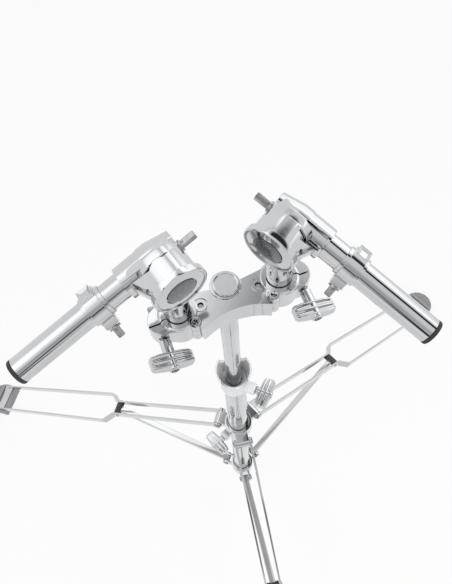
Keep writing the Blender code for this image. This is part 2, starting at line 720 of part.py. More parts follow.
def height_collar():
    """The cup-shaped clamp on top of the base tube, cut into petals."""
    ledge = -COLLAR_CUP - COLLAR_LEDGE
    low = ledge - COLLAR_LONG
    skirt, post = BASE_R + GAP, POST_R + GAP
    outer = COLLAR_WAIST_R
    profile = [(COLLAR_CUP_R, 0), (COLLAR_LIP_R, 0), (COLLAR_LIP_R, -EDGE_BEVEL)]
    profile += [(outer + EDGE_BEVEL, -COLLAR_FLARE), (outer, -COLLAR_CUP), (outer, low), (skirt, low)]
    profile += [(skirt, ledge), (post, ledge), (post, -COLLAR_CUP), (skirt, COLLAR_SEAT - COLLAR_CUP)]
    cup = turned(profile, ROUND_SIDES, ring=True)
    cut = moved(
        along_x(rod(PETAL_CUT_R, -2 * COLLAR_LIP_R, 2 * COLLAR_LIP_R, SIDES)),
        Matrix.Rotation(math.pi / 2 - PETAL_BEARING, 4, "Z"),
    )
    boss, hole = screw_boss(COLLAR_WAIST_R, (ledge + low) / 2, COLLAR_WING_BEARING)
    bore = rod(skirt, low - COLLAR_LONG, ledge, ROUND_SIDES)
    steps = [("DIFFERENCE", cut), ("UNION", boss), ("DIFFERENCE", bore), ("DIFFERENCE", hole)]
    return shifted(combined(cup, steps), z=COLLAR_TOP)


def base_tube():
    return pipe(BASE_R - BASE_WALL, BASE_R, BASE_BOTTOM, BASE_TOP)


def post_bush():
    return pipe(POST_R + GAP, BASE_R - BASE_WALL - GAP, BASE_TOP - BUSH_LONG, BASE_TOP)


def base_plug():
    inner = BASE_R - BASE_WALL - GAP
    high = BASE_BOTTOM - GAP
    low = high - PLUG_T
    profile = [(0, high + CAP_PLUG), (inner, high + CAP_PLUG), (inner, high), (BASE_R, high)]
    profile += [(BASE_R, low + CAP_ROUND), (BASE_R - CAP_ROUND, low), (0, low)]
    return turned(profile)


def pivot_lug(low, high):
    """A rounded lug along X between two Y values, reaching the pivot."""
    return along_y(prism(stadium(BASE_R + HUB_WALL / 2, PIVOT_R, LUG_ROUND), low, high))


def hub(lugs, height, wing=False):
    """A hub ring round the base tube with pivot lugs for the legs or the struts."""
    half = HUB_LONG / 2
    ring = pipe(BASE_R + GAP, HUB_R, -half, half, ROUND_SIDES)
    steps, holes = [], []
    for bearing in LEG_BEARINGS:
        turn = Matrix.Rotation(bearing, 4, "Z")
        steps += [("UNION", moved(pivot_lug(*span), turn)) for span in lugs]
        pin = shifted(along_y(rod(PIN_R + PIN_PLAY, -PIVOT_R, PIVOT_R)), x=PIVOT_R)
        holes.append(("DIFFERENCE", moved(pin, turn)))
    if wing:
        boss, hole = screw_boss(HUB_R, 0, HUB_WING_BEARING)
        steps.append(("UNION", boss))
        holes.append(("DIFFERENCE", hole))
    bore = rod(BASE_R + GAP, -HUB_LONG, HUB_LONG, ROUND_SIDES)
    return shifted(combined(ring, steps + [("DIFFERENCE", bore)] + holes, "MANIFOLD"), z=height)


# Tripod legs, in a frame on the upper pivot with X down the leg


def leg():
    """Two strips from the hub that step apart past the middle pivot, tied together inside the foot."""
    inner = LUG_HALF + GAP
    outer = inner + STRIP_T
    half = STRIP_HALF
    jog = (LINK + JOG_START, LINK + JOG_START + JOG_LONG)
    edge = [(0, inner), (jog[0], inner), (jog[1], LEG_HALF - STRIP_T), (LEG_LONG, LEG_HALF - STRIP_T)]
    edge += [(LEG_LONG, LEG_HALF), (jog[1], LEG_HALF), (jog[0], outer), (0, outer)]
    wide, high = LEG_HALF - STRIP_T / 2, half - PROUD
    tie = block((LEG_LONG - TIE_LONG, -wide, -high), (LEG_LONG - PROUD, wide, high))
    steps = []
    for side in (1, -1):
        strip = prism([(x, side * y) for x, y in edge], -half, half)
        eye = sorted((side * (inner + PROUD), side * (outer - PROUD)))
        rivet = sorted((side * (inner + PROUD), side * (outer + PIN_HEAD_T)))
        steps += [("UNION", strip), ("UNION", along_y(rod(half + PROUD, *eye, SIDES)))]
        steps.append(("UNION", shifted(along_y(rod(PIN_HEAD_R, *rivet)), x=LINK)))
    steps.append(("DIFFERENCE", along_y(rod(PIN_R + PIN_PLAY, -LEG_HALF, LEG_HALF))))
    return combined(tie, steps)


def pivot_pin(reach):
    """A headed pin along Y."""
    profile = [(0, reach + PIN_HEAD_T), (PIN_HEAD_R, reach + PIN_HEAD_T), (PIN_HEAD_R, reach + GAP)]
    profile += [(PIN_R, reach + GAP), (PIN_R, -reach - GAP), (PIN_HEAD_R, -reach - GAP)]
    profile += [(PIN_HEAD_R, -reach - PIN_HEAD_T), (0, -reach - PIN_HEAD_T)]
    return along_y(turned(profile, SMALL_SIDES))


def strut():
    """The brace from the lower hub, in a frame on its pivot with X along the brace."""
    bar = along_y(prism(stadium(0, LINK, STRUT_HALF_Z), -STRUT_HALF_Y, STRUT_HALF_Y))
    tip = shifted(along_y(rod(STRUT_BOSS_R, -LUG_HALF, LUG_HALF)), x=LINK)
    hole = along_y(rod(PIN_R + PIN_PLAY, -LUG_HALF, LUG_HALF))
    return combined(bar, [("UNION", tip), ("DIFFERENCE", hole)])


def foot():
    """The rubber boot over the end of a leg, in the leg frame, level with the floor."""
    level = Matrix.Rotation(-LEG_SLOPE, 4, "Y")
    seat = Matrix.Translation((LEG_LONG, 0, 0)) @ level @ Matrix.Translation((0, 0, -FOOT_PIVOT_Z))
    toe = arc((FOOT_TOE - FOOT_HALF, 0), FOOT_HALF, -math.pi / 2, math.pi / 2, LUG_STEPS)
    outline = [(-FOOT_HEEL, -FOOT_HALF), *toe, (-FOOT_HEEL, FOOT_HALF)]
    boot = prism(outline, 0, FOOT_HIGH, FOOT_BEVEL)
    half = STRIP_HALF + GAP
    side = LEG_HALF + GAP
    pocket = block((0, -side, -half), (LEG_LONG + GAP, side, half))
    return combined(moved(boot, seat), [("DIFFERENCE", pocket)])


# Assembly


def build_side(side, bracket_frame):
    outwards = 1 if side == "right" else -1
    socket = frame_at(
        f"{side}_socket_frame", bracket_frame, Matrix.Translation((outwards * SOCKET_X, SOCKET_Y, 0))
    )
    flip = Vector((1, 0, 0)) if side == "left" else None
    pin_place = (outwards * GATE_PIN[0], GATE_PIN[1], 0)
    hinge = frame_at(f"{side}_gate_frame", socket, Matrix.Translation(pin_place))
    gate_back = Matrix.Translation((-GATE_PIN[0], -GATE_PIN[1], 0))
    piece(f"{side}_gate", moved(socket_gate(), gate_back), "chrome", hinge, flip)
    piece(f"{side}_gate_pin", gate_pin(), "steel", socket, flip)
    piece(f"{side}_lug_screw", lug_screw(), "steel", socket, flip)
    piece(f"{side}_wing_bolt", wing_bolt(), "steel", socket, flip)
    nut_place = (outwards * WING_BOLT_X, 0, WING_BOLT_Z)
    nut_axis = frame_at(f"{side}_nut_frame", socket, Matrix.Translation(nut_place))
    piece(f"{side}_wing_nut", wing_nut(NUT_ROLL[side]), "chrome", nut_axis, flip)

    swivel = frame_at(f"{side}_swivel_frame", socket, Matrix.Rotation(ARM_BEARING[side], 4, "Z"))
    back = Vector((0, 1, 0)) if side == "right" else None
    piece(f"{side}_arm_post", arm_post(), "chrome", swivel, back)
    slope = Matrix.Rotation(ARM_SLOPE[side], 4, "Y")
    tilt = frame_at(f"{side}_tilt_frame", swivel, Matrix.Translation((0, 0, HEAD_RISE)) @ slope)
    piece(f"{side}_tilter_body", tilter_body(), "chrome", tilt, back)
    piece(f"{side}_tilter_bolt", tilter_bolt(), "steel", tilt, back)
    piece(f"{side}_gyro_disc", gyro_disc(), "chrome", tilt, back)
    piece(f"{side}_gyro_badge", gyro_badge(), "badge", tilt, back)
    offset = TUBE_OFFSET if side == "right" else -TUBE_OFFSET
    tube = frame_at(f"{side}_tube_frame", tilt, Matrix.Translation((0, offset, -TUBE_DROP)))
    piece(f"{side}_arm_tube", arm_tube(side), "chrome", tube, back)
    piece(f"{side}_end_cap", end_cap(side), "rubber", tube, back)
    piece(f"{side}_arm_lock", arm_lock(), "chrome", tube, back)
    piece(f"{side}_lock_bolt", lock_bolt(), "steel", tube, back)


def build_column(root):
    piece("base_tube", base_tube(), "chrome", root)
    piece("base_plug", base_plug(), "rubber", root)
    piece("post_bush", post_bush(), "nylon", root)
    piece("height_collar", height_collar(), "chrome", root)
    ledge = COLLAR_TOP - COLLAR_CUP - COLLAR_LEDGE - COLLAR_LONG / 2
    turn = Matrix.Rotation(COLLAR_WING_BEARING, 4, "Z")
    axis = frame_at("collar_screw_frame", root, Matrix.Translation((0, 0, ledge)) @ turn)
    piece("collar_wing_screw", lock_screw(COLLAR_WAIST_R), "chrome", axis)
    piece("centre_post", centre_post(), "chrome", root)


def build_tripod(root):
    cheeks = STRUT_HALF_Y + GAP
    pairs = [(cheeks, LUG_HALF), (-LUG_HALF, -cheeks)]
    piece("lower_hub", hub(pairs, STRUT_PIVOT_Z), "chrome", root)
    slider = frame_at("hub_frame", root, Matrix.Translation((0, 0, HUB_PIVOT_Z)))
    piece("upper_hub", hub([(-LUG_HALF, LUG_HALF)], 0, wing=True), "chrome", slider)
    turn = Matrix.Rotation(HUB_WING_BEARING, 4, "Z")
    piece("hub_wing_screw", lock_screw(HUB_R), "chrome", frame_at("hub_screw_frame", slider, turn))
    for number, bearing in enumerate(LEG_BEARINGS, 1):
        spoke = Matrix.Rotation(bearing, 4, "Z") @ Matrix.Translation((PIVOT_R, 0, 0))
        down = Matrix.Rotation(LEG_SLOPE, 4, "Y")
        hinge = frame_at(f"leg_{number}_frame", slider, spoke @ down)
        piece(f"leg_{number}", leg(), "chrome", hinge)
        piece(f"foot_{number}", foot(), "foot_rubber", hinge)
        piece(f"leg_pin_{number}", pivot_pin(LUG_HALF + GAP + STRIP_T), "steel", hinge)
        up = Matrix.Rotation(-LEG_SLOPE, 4, "Y")
        low = Matrix.Translation((0, 0, STRUT_PIVOT_Z)) @ spoke @ up
        brace = frame_at(f"strut_{number}_frame", root, low)
        piece(f"strut_{number}", strut(), "chrome", brace)
        piece(f"strut_pin_{number}", pivot_pin(LUG_HALF), "steel", brace)


def stand_on_floor(root):
    """Puts the origin under the middle of the whole object, on the floor."""
    bpy.context.view_layer.update()
    solids = [item for item in bpy.data.objects if item.type == "MESH"]
    points = [item.matrix_world @ vert.co for item in solids for vert in item.data.vertices]
    low = [min(point[axis] for point in points) for axis in range(3)]
    high = [max(point[axis] for point in points) for axis in range(3)]
    root.location = (-(low[0] + high[0]) / 2, -(low[1] + high[1]) / 2, -low[2])


def main():
    clear_scene()
    root = frame_at("stand_frame", None, Matrix())
    bracket_frame = frame_at("bracket_frame", root, Matrix.Translation((0, 0, BRACKET_TOP)))
    piece("bracket", bracket(), "chrome", bracket_frame)
    piece("boss_cap", boss_cap(), "chrome", bracket_frame)
    for side in ("left", "right"):
        build_side(side, bracket_frame)
    build_column(root)
    build_tripod(root)
    stand_on_floor(root)


main()
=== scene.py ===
"""Looks of the double tom stand: polished castings, drawn tubes, rubber ends and a white studio."""

import json
import math

import bmesh
import bpy
from mathutils import Matrix, Vector


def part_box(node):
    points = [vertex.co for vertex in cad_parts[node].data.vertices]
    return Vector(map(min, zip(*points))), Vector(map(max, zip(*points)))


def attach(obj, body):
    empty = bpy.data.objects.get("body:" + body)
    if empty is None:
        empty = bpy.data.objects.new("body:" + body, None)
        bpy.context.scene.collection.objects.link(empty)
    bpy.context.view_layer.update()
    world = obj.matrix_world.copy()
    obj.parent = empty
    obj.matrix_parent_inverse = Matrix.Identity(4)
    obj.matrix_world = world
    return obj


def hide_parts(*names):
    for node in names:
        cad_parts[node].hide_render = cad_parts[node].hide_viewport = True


bl_info = {
    "name": "Double Tom Stand",
    "version": (1, 0, 0),
    "blender": (4, 5, 0),
    "location": "View3D > Sidebar > Tom Stand",
    "description": "Builds the finished pieces of a double tom stand around its packed frame",
    "category": "Add Mesh",
}

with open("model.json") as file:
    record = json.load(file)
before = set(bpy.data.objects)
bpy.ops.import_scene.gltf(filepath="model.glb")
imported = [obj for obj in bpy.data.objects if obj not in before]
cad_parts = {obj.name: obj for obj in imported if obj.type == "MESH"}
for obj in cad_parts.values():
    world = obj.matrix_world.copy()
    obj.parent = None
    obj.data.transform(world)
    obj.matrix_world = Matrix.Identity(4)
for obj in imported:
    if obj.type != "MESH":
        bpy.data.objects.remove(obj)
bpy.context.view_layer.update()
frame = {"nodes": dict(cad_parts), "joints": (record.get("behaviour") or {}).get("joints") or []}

MM = 0.001
# Heights closer than this are level
NEAR = 0.01 * MM
# Points closer than this are one, in millimetres
WELD = 0.001
TURN = 2 * math.pi
ORIGIN, UP = Vector((0, 0, 0)), Vector((0, 0, 1))
SIDES = ("left", "right")
LEGS = (1, 2, 3)
# Steps round a turned shape or an arc, from a small rounding to the widest casting
FEW, SHORT, TINY, SMALL, PIN, ROUND, WIDE, BROAD = 6, 24, 32, 40, 48, 64, 96, 128
# Turn and weight that tell a flat face from a rounded edge, and the turn that gets rounded
SHARP_TURN, FLAT_WEIGHT, ROUNDED_TURN = math.radians(28), 70, math.radians(25)
BEVEL = {"profile": 0.5, "affect": "EDGES", "material": -1, "clamp_overlap": True}


# Sizes and colours that a user would change


def length(name, millimetres, description):
    looks = {"unit": "LENGTH", "subtype": "DISTANCE", "precision": 5}
    return bpy.props.FloatProperty(name=name, description=description, default=millimetres * MM, **looks)


def angle(name, degrees, description):
    return bpy.props.FloatProperty(
        name=name, description=description, default=math.radians(degrees), unit="ROTATION", subtype="ANGLE"
    )


def colour(name, value, description):
    return bpy.props.FloatVectorProperty(
        name=name, description=description, default=value, size=3, min=0, max=1, subtype="COLOR"
    )


def number(name, value, description):
    return bpy.props.FloatProperty(name=name, description=description, default=value)


class TubeSizes(bpy.types.PropertyGroup):
    """Drum arm tubes, their caps and the locks on them"""

    radius: length("Radius", 11.1, "Outer radius of the arm tube and of the upright posts")
    wall: length("Wall", 1.6, "Wall of the arm tube")
    reach_left: length("Left reach", 139, "From the tilt axis to the outer end of the left cap")
    reach_right: length("Right reach", 141, "From the tilt axis to the outer end of the right cap")
    inner_end: length("Inner end", 8, "From the tilt axis to the tube's inner end")
    cap_band: length("Cap band", 3.4, "Rubber that shows past the tube")
    cap_plug: length("Cap plug", 8, "Rubber inside the tube")
    cap_round: length("Cap rounding", 1.3, "Rounded edge of the cap")
    gap: length("Gap", 0.3, "Clearance between fitted pieces")
    lock_at: length("Lock place", 58, "From the tilt axis to the middle of the lock")
    lock_wide: length("Lock width", 12.6, "Width of the lock's ring along the tube")
    lock_wall: length("Lock wall", 3.6, "Thickness of the lock's ring")
    sleeve_wall: length("Sleeve wall", 1.4, "Thickness of the thin sleeve on each side of the lock")
    sleeve_reach: length("Sleeve reach", 3, "How far the thin sleeve stands out")
    lug_wide: length("Lug width", 12, "Width of the lock's lug round the tube")
    lug_reach: length("Lug reach", 8.5, "Height of the lug from the tube")
    block_reach: length("Block reach", 6.5, "Height of the block behind the tube")
    block_recess: length("Recess", 2, "Depth of the square recess in that block")
    lean: angle("Lock lean", -26, "How far the lock is turned down round the tube")
    block_turn: angle("Block turn", -40, "How far the block is turned up from there")
    recess_edge: length("Recess edge", 2.6, "Edge left round the recess")
    lug_inset: length("Lug inset", 0.6, "Lug and block narrower than the ring on each side")


class HeadSizes(bpy.types.PropertyGroup):
    """Tilting heads, their round covers and upright posts"""

    rise: length("Rise", 71, "Tilt axis above the bracket's top")
    tube_offset: length("Tube offset", 19, "Tube axis behind the tilt axis")
    tube_drop: length("Tube drop", 5, "Tube axis below the tilt axis")
    mouth_x: length("Mouth", 32, "Outer end of the sleeve")
    step_x: length("Step", 10, "Where the sleeve thickens")
    bore_end: length("Bore end", -9.5, "Inner end of the sleeve's bore")
    rear_x: length("Rear", -19.5, "Rear end of the casting")
    mouth_wall: length("Mouth wall", 2.8, "Wall of the sleeve near its mouth")
    body_wall: length("Body wall", 3.4, "Wall of the sleeve behind its step")
    taper: length("Taper", 4, "How much the radius falls to the rear end")
    taper_long: length("Taper length", 20, "Length of that taper")
    window_low: length("Window start", 8, "Start of the right head's window over the tube")
    window_high: length("Window end", 29.5, "End of that window")
    window_half: length("Window half width", 7, "Half the width of that window")
    groove_half: length("Groove half width", 2.4, "Half the width of the left head's open groove")
    notch_half: length("Notch half width", 4.6, "Half the width of the notch at that groove's end")
    notch_long: length("Notch length", 3.6, "Length of that notch")
    cut_lean: angle("Cut lean", 32, "How far those cuts lean round the tube towards the disc")
    slit: length("Slit", 1.2, "Clamp slit along the sleeve")
    hole_x: length("Set screw place", 19.4, "Set screw hole along the tube")
    hole_y: length("Set screw side", 7, "Set screw hole towards the disc")
    hole_radius: length("Set screw hole", 1.7, "Radius of the set screw hole")
    hood_radius: length("Hood radius", 20.6, "Rounded hood that covers the neck")
    hood_play: length("Hood play", 0.5, "Clearance between hood and neck")
    stem_room: length("Stem room", 13.2, "Where the hood ends towards the mouth")
    stem_lean: angle("Stem lean", 38, "Lean of that end, clear of the stem at full tilt")
    drum_radius: length("Drum radius", 20, "Round plate behind the neck")
    drum_thick: length("Drum thickness", 8, "Thickness of that plate")
    neck_back: length("Neck back", 4, "Back face of the neck from the tilt frame")
    neck_thick: length("Neck thickness", 17, "Thickness of the neck")
    neck_radius: length("Neck radius", 17.5, "Rounded top of the neck")
    neck_drop: length("Neck drop", 28, "Top of the post below the tilt axis")
    disc_radius: length("Disc radius", 23.4, "Round cover on the front")
    disc_thick: length("Disc thickness", 6, "Thickness of the cover")
    badge_radius: length("Badge radius", 12.6, "Plain badge in the cover")
    post_tail: length("Post tail", 39.6, "Lower end of the post below the bracket's top")
    flange_radius: length("Bolt flange radius", 5, "Flange of a key bolt")
    flange_thick: length("Bolt flange", 2, "Thickness of that flange")
    key_wide: length("Key width", 5.6, "Square head of a key bolt")
    key_long: length("Key length", 8, "Length of the square head")
    stud_long: length("Stud length", 13, "Length of the rear bolt's head")
    stud_shift: length("Stud shift", 5.5, "Rear bolt from the tube's axis towards the disc")
    shank_radius: length("Shank radius", 2.5, "Shank of a key bolt")
    shank_long: length("Shank length", 6, "Shank that goes into the casting")
    thread_size: number("Thread size", 1.12, "Radius of a key bolt's thread against half its key width")
    thread_pitch: length("Thread pitch", 0.8, "From one turn of that thread to the next")
    thread_deep: length("Thread depth", 0.35, "Depth of that thread")
    badge_thick: length("Badge thickness", 1.6, "Thickness of a badge")
    stem_inset: length("Stem inset", 1.2, "Neck's stem inside the post's outline")
    stem_sunk: length("Stem overlap", 4, "Neck's stem sunk into the post")
    spindle_radius: length("Spindle radius", 5, "Spindle behind the neck")
    spindle_long: length("Spindle length", 5, "How far the spindle stands behind the neck")


class BracketSizes(bpy.types.PropertyGroup):
    """Bracket casting with its two sockets"""

    proud: length("Proud", 0.5, "How far bosses stand above the web")
    socket_x: length("Socket place", 46.3, "Sockets out from the middle")
    socket_y: length("Socket back", -9, "Sockets from the middle, backwards")
    thick: length("Thickness", 25.6, "Height of the casting")
    bore: length("Bore", 11.4, "Bore of a socket")
    socket_wall: length("Socket wall", 6.6, "Wall of a socket")
    boss_radius: length("Boss radius", 14, "Round boss over the post")
    web_back: length("Web back", 1, "Back edge of the web")
    web_front: length("Web front", 24, "Middle of the hollow front edge, forwards")
    web_end_x: length("Web end", 31, "Where the hollow front ends, sideways")
    web_end_y: length("Web end depth", -31.5, "Where the hollow front ends, backwards")
    bevel: length("Bevel", 2.2, "Bright bevel round the top of the casting")
    cap_radius: length("Cap radius", 11.8, "Plain disc on the boss")
    cap_thick: length("Cap thickness", 1.6, "Thickness of that disc")
    cap_rim: length("Cap rim", 1.4, "Raised rim of that disc")
    cap_dish: length("Cap dish", 0.6, "Depth inside the rim")
    pin_x: length("Gate pin out", -10.5, "Gate pin from the socket's middle, outwards")
    pin_y: length("Gate pin back", -14.5, "Gate pin from the socket's middle, backwards")
    screw_x: length("Lug screw out", -20, "Lug screw from the socket's middle, outwards")
    screw_y: length("Lug screw back", -1, "Lug screw from the socket's middle, backwards")
    hole_radius: length("Hole radius", 2.7, "Holes for the pin and the screw")
    groove_inner: length("Groove", 5.6, "Inner radius of the groove round the screw")
    groove_wide: length("Groove width", 1, "Width of that groove")
    knuckle_radius: length("Knuckle radius", 5.2, "Hinge knuckle round the pin")
    knuckle_thick: length("Knuckle height", 7.5, "Height of the gate's two knuckles")
    split_y: length("Split", -4, "Middle of the split between casting and gate")
    split: length("Split gap", 1.5, "Width of the split")
    ear_reach: length("Ear reach", 28, "Clamp ears out from the socket's middle")
    ear_front: length("Ear front", -14.8, "Front face of the gate's ear")
    ear_back: length("Ear back", 13, "Back face of the casting's ear")
    ear_low: length("Ear drop", 2.5, "Ears below the top face")
    rim: length("Socket rim", 0.5, "Bevel at the mouth of a socket's bore")
    bevel_belly: number("Bevel belly", 0.35, "Share of a socket's bevel left at its middle")
    web_low: angle("Web low", 236, "Where the web's front runs into the right socket")
    web_high: angle("Web high", 112, "Where the web's back runs into the right socket")
    web_roof: length("Web roof", 6.656, "Web over the centre post")
    boss_roof: length("Boss roof", 7, "Boss over the centre post")
    groove_deep: length("Groove depth", 1.6, "Depth of the groove round the screw")
    cap_edge: length("Cap edge", 0.7, "Bevel of the disc's rim, inwards")
    cap_drop: length("Cap drop", 0.9, "Bevel of the disc's rim, downwards")
    gate_play: angle("Gate play", math.degrees(0.02), "Opening between gate and casting at the hinge")


class WingSizes(bpy.types.PropertyGroup):
    """Wing nuts and wing screws"""

    bolt_x: length("Bolt place", 18.5, "Clamp bolt out from the socket's middle")
    bolt_radius: length("Bolt radius", 3, "Clamp bolt and wing screw shanks")
    play: length("Play", 1, "Clearance of a nut on its bolt")
    hub_radius: length("Hub radius", 5.2, "Round hub between the wings")
    nut_root: length("Nut root", 11, "Start of a nut's wings from its face")
    screw_root: length("Screw root", 3.5, "Start of a screw's wings from its face")
    crown: length("Crown", 1, "Hub past the wings")
    span: length("Span", 19, "From the axis to a wing's tip")
    deep: length("Depth", 17, "Depth of a wing along the axis")
    thick: length("Thickness", 11, "Thickness of a wing at the hub")
    groove: length("Groove", 1.3, "Depth of the finger grooves")
    tip: number("Tip", 0.72, "Size of a wing's tip against its root")
    roll_left: angle("Left roll", 18, "Turn of the left nut at rest")
    roll_right: angle("Right roll", -14, "Turn of the right nut at rest")
    crown_round: length("Crown rounding", 2, "Rounded end of the hub")
    hub_bevel: length("Hub bevel", 1, "Bevel at the hub's face")


class ColumnSizes(bpy.types.PropertyGroup):
    """Centre post, base tube and height collar"""

    post_radius: length("Post radius", 9.525, "Outer radius of the centre post")
    post_wall: length("Post wall", 2, "Wall of the centre post")
    base_radius: length("Base radius", 14.3, "Outer radius of the base tube")
    base_wall: length("Base wall", 1.8, "Wall of the base tube")
    cup: length("Cup", 32, "Depth of the collar's cup")
    ledge: length("Ledge", 4, "Floor of the cup")
    skirt: length("Skirt", 16, "Skirt of the collar on the base tube")
    lip_radius: length("Lip radius", 22, "Outer radius at the collar's lip")
    waist_radius: length("Waist radius", 17.4, "Outer radius of the skirt")
    cup_radius: length("Cup radius", 19.6, "Inner radius at the collar's lip")
    flare: length("Flare", 24, "Height of the flared part")
    seat: length("Seat", 3.3, "Slope at the bottom of the cup")
    petal_radius: length("Petal cut", 16, "Radius of the cut between the petals")
    petal_bearing: angle("Petal bearing", 75, "Direction of that cut")
    boss_reach: length("Boss reach", 11, "Screw boss out from the ring")
    boss_half: length("Boss half", 6.5, "Half the side of a screw boss")
    lip: length("Lip", 1.2, "Height of the collar's lip, and swell where its flare ends")


class TripodSizes(bpy.types.PropertyGroup):
    """Hubs, legs, struts and feet"""

    hub_wall: length("Hub wall", 5.7, "Wall of a hub ring")
    hub_long: length("Hub length", 30, "Length of a hub ring")
    pivot_radius: length("Pivot radius", 30, "Pivots out from the column")
    lug_half: length("Lug half", 9.6, "Half the width of a pivot lug")
    lug_round: length("Lug round", 7, "Rounded end of a pivot lug")
    cheek_inner: length("Cheek", 5.3, "Inner face of the lower hub's cheeks")
    drop: length("Drop", 412, "Leg pivot above the foot's middle")
    spread: length("Spread", 540, "Foot's middle out from the leg pivot")
    link: length("Link", 249, "Pivot to pivot along a strut")
    strip_thick: length("Strip thickness", 3, "Inner strips of a leg")
    strip_half: length("Strip half height", 6, "Half the height of a leg")
    jog_start: length("Shoulder start", 8, "From the middle pivot to the slanted shoulder")
    jog_long: length("Shoulder length", 20, "Length of that shoulder along the leg")
    leg_half: length("Leg half width", 27, "Half the width of the outer leg")
    tie_long: length("Tie length", 24, "Bridge between the strips inside the foot")
    pin_head: length("Pin head", 4.6, "Radius of a pivot pin's head")
    rivet_thick: length("Rivet", 2, "Head of the rivet at the middle pivot")
    strut_half_y: length("Strut half width", 5, "Half the width of a strut")
    strut_half_z: length("Strut half height", 6, "Half the height of a strut")
    foot_heel: length("Heel", 30, "Foot towards the column")
    foot_toe: length("Toe", 20, "Foot away from the column")
    foot_half: length("Foot half", 31, "Half the width of a foot")
    foot_high: length("Foot height", 25, "Height of a foot")
    foot_middle: length("Foot middle", 14, "Leg's end above the floor")
    foot_bevel: length("Foot rounding", 3.4, "Rounded edges of a foot")
    rib_pitch: length("Rib pitch", 5.4, "From one rib of a foot to the next")
    rib_deep: length("Rib depth", 1.1, "Depth of the grooves between the ribs")


class EdgeSizes(bpy.types.PropertyGroup):
    """Rounded edges of the finished pieces"""

    disc: length("Disc", 0.15, "Grooved covers")
    socket: length("Socket", 0.2, "Socket rings and the disc on the boss")
    strip: length("Strip", 0.3, "Ends of the arm tubes and strips of the legs")
    ring: length("Ring", 0.35, "Rings of the locks")
    tube: length("Tube", 0.4, "Column, collar and bolt flanges")
    block: length("Block", 0.45, "Recessed blocks of the locks")
    knuckle: length("Knuckle", 0.5, "Knuckles of the gates")
    sleeve: length("Sleeve", 0.6, "Sleeves of the heads and lugs of the hubs")
    rivet: length("Rivet", 0.6, "Rivets and spacers of the legs")
    lug: length("Lug", 0.8, "Lugs of the locks")
    key: length("Key", 0.9, "Square heads of the key bolts")
    hub: length("Hub", 1, "Rings of the hubs")
    post: length("Post", 1.1, "Posts, necks, round plates and the boss")
    strut: length("Strut", 1.2, "Struts of the tripod")
    screw_boss: length("Screw boss", 1.4, "Bosses of the wing screws")


class FinishColours(bpy.types.PropertyGroup):
    """Colours of the finishes"""

    chrome: colour("Chrome", (0.56, 0.565, 0.575), "Polished chromium plate")
    # Satin plate: a real softer plate, but also painted paler than the chrome as painted light, making up for
    # the shade inside the collar's cup
    satin: colour("Satin plate", (0.8, 0.805, 0.815), "Softer plate of the height collar")
    steel: colour("Steel", (0.40, 0.40, 0.41), "Bright bolts and pins")
    rubber: colour("Rubber", (0.018, 0.018, 0.019), "Tube caps")
    foot: colour("Foot rubber", (0.20, 0.20, 0.205), "Feet")
    badge: colour("Badge", (0.045, 0.047, 0.05), "Plain badges in the covers")
    nylon: colour("Nylon", (0.03, 0.03, 0.032), "Bush and spacers")


class StageSettings(bpy.types.PropertyGroup):
    """Camera and studio"""

    azimuth: angle("Azimuth", -15.5, "Camera bearing, where 0 looks along +Y")
    elevation: angle("Elevation", 64, "Camera above the horizon")
    roll: angle("Roll", 5.4, "Camera roll")
    lens: number("Lens", 39.45, "Focal length in millimetres for a frame 36 mm high")
    eye_x: length("Camera X", -66.06, "Camera from the bracket's top, sideways")
    eye_y: length("Camera Y", -238.32, "Camera from the bracket's top, backwards")
    eye_z: length("Camera Z", 493.23, "Camera from the bracket's top, upwards")
    floor_radius: length("Floor radius", 3200, "Radius of the pale floor")
    backdrop: colour("Backdrop", (0.92, 0.92, 0.92), "Floor and surroundings")
    dome_radius: length("Dome radius", 3000, "Radius of the dome that only reflections see")
    dome_level: number("Dome level", 1.05, "Plain brightness of the dome")
    soft_level: number("Soft level", 0.6, "Brightness of the surroundings where only light is gathered")
    floor_glow: number("Floor glow", 0.86, "Share of the floor's own white where it is seen")
    floor_drop: length("Floor drop", 1, "Floor below the feet")
    clip_start: length("Near clip", 10, "Nearest distance that the camera shows")


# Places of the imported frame


def joint(name):
    return next(item for item in frame["joints"] if item["name"] == name)


def bracket_place():
    """The middle of the bracket's top face."""
    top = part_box("bracket")[1].z - bpy.context.scene.tom_bracket.proud
    low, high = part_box("centre_post")
    column = (low + high) / 2
    return Matrix.Translation((column.x, column.y, top))


def socket_seat(side):
    """A socket's middle from the bracket's, with X outwards."""
    sizes = bpy.context.scene.tom_bracket
    outwards = 1 if side == "right" else -1
    middle = Matrix.Translation((outwards * sizes.socket_x, sizes.socket_y, 0))
    return middle @ Matrix.Diagonal((outwards, 1, 1, 1))


def socket_place(side):
    return bracket_place() @ socket_seat(side)


def handed(side):
    """Mirrors the right head, so that the tube lies behind it on either side."""
    return Matrix.Diagonal((1, -1 if side == "right" else 1, 1, 1))


def axes_place(origin, x_axis, y_axis):
    x_axis, y_axis = Vector(x_axis).normalized(), Vector(y_axis).normalized()
    columns = Matrix((x_axis, y_axis, x_axis.cross(y_axis))).transposed()
    return Matrix.Translation(origin) @ columns.to_4x4()


def swivel_place(side):
    """On the socket's axis at the bracket's top, with X along the arm."""
    across = Vector(joint(f"{side}_tilt")["axis"])
    return axes_place(joint(f"{side}_swivel_turn")["pos_m"], across.cross(UP), across) @ handed(side)


def tilt_place(side):
    """On the tilt axis, with X along the tube."""
    tilt = joint(f"{side}_tilt")
    along = joint(f"{side}_tube_slide")["axis"]
    return axes_place(tilt["pos_m"], along, tilt["axis"]) @ handed(side)


def tube_place(side):
    sizes = bpy.context.scene.tom_head
    return tilt_place(side) @ Matrix.Translation((0, -sizes.tube_offset, -sizes.tube_drop))


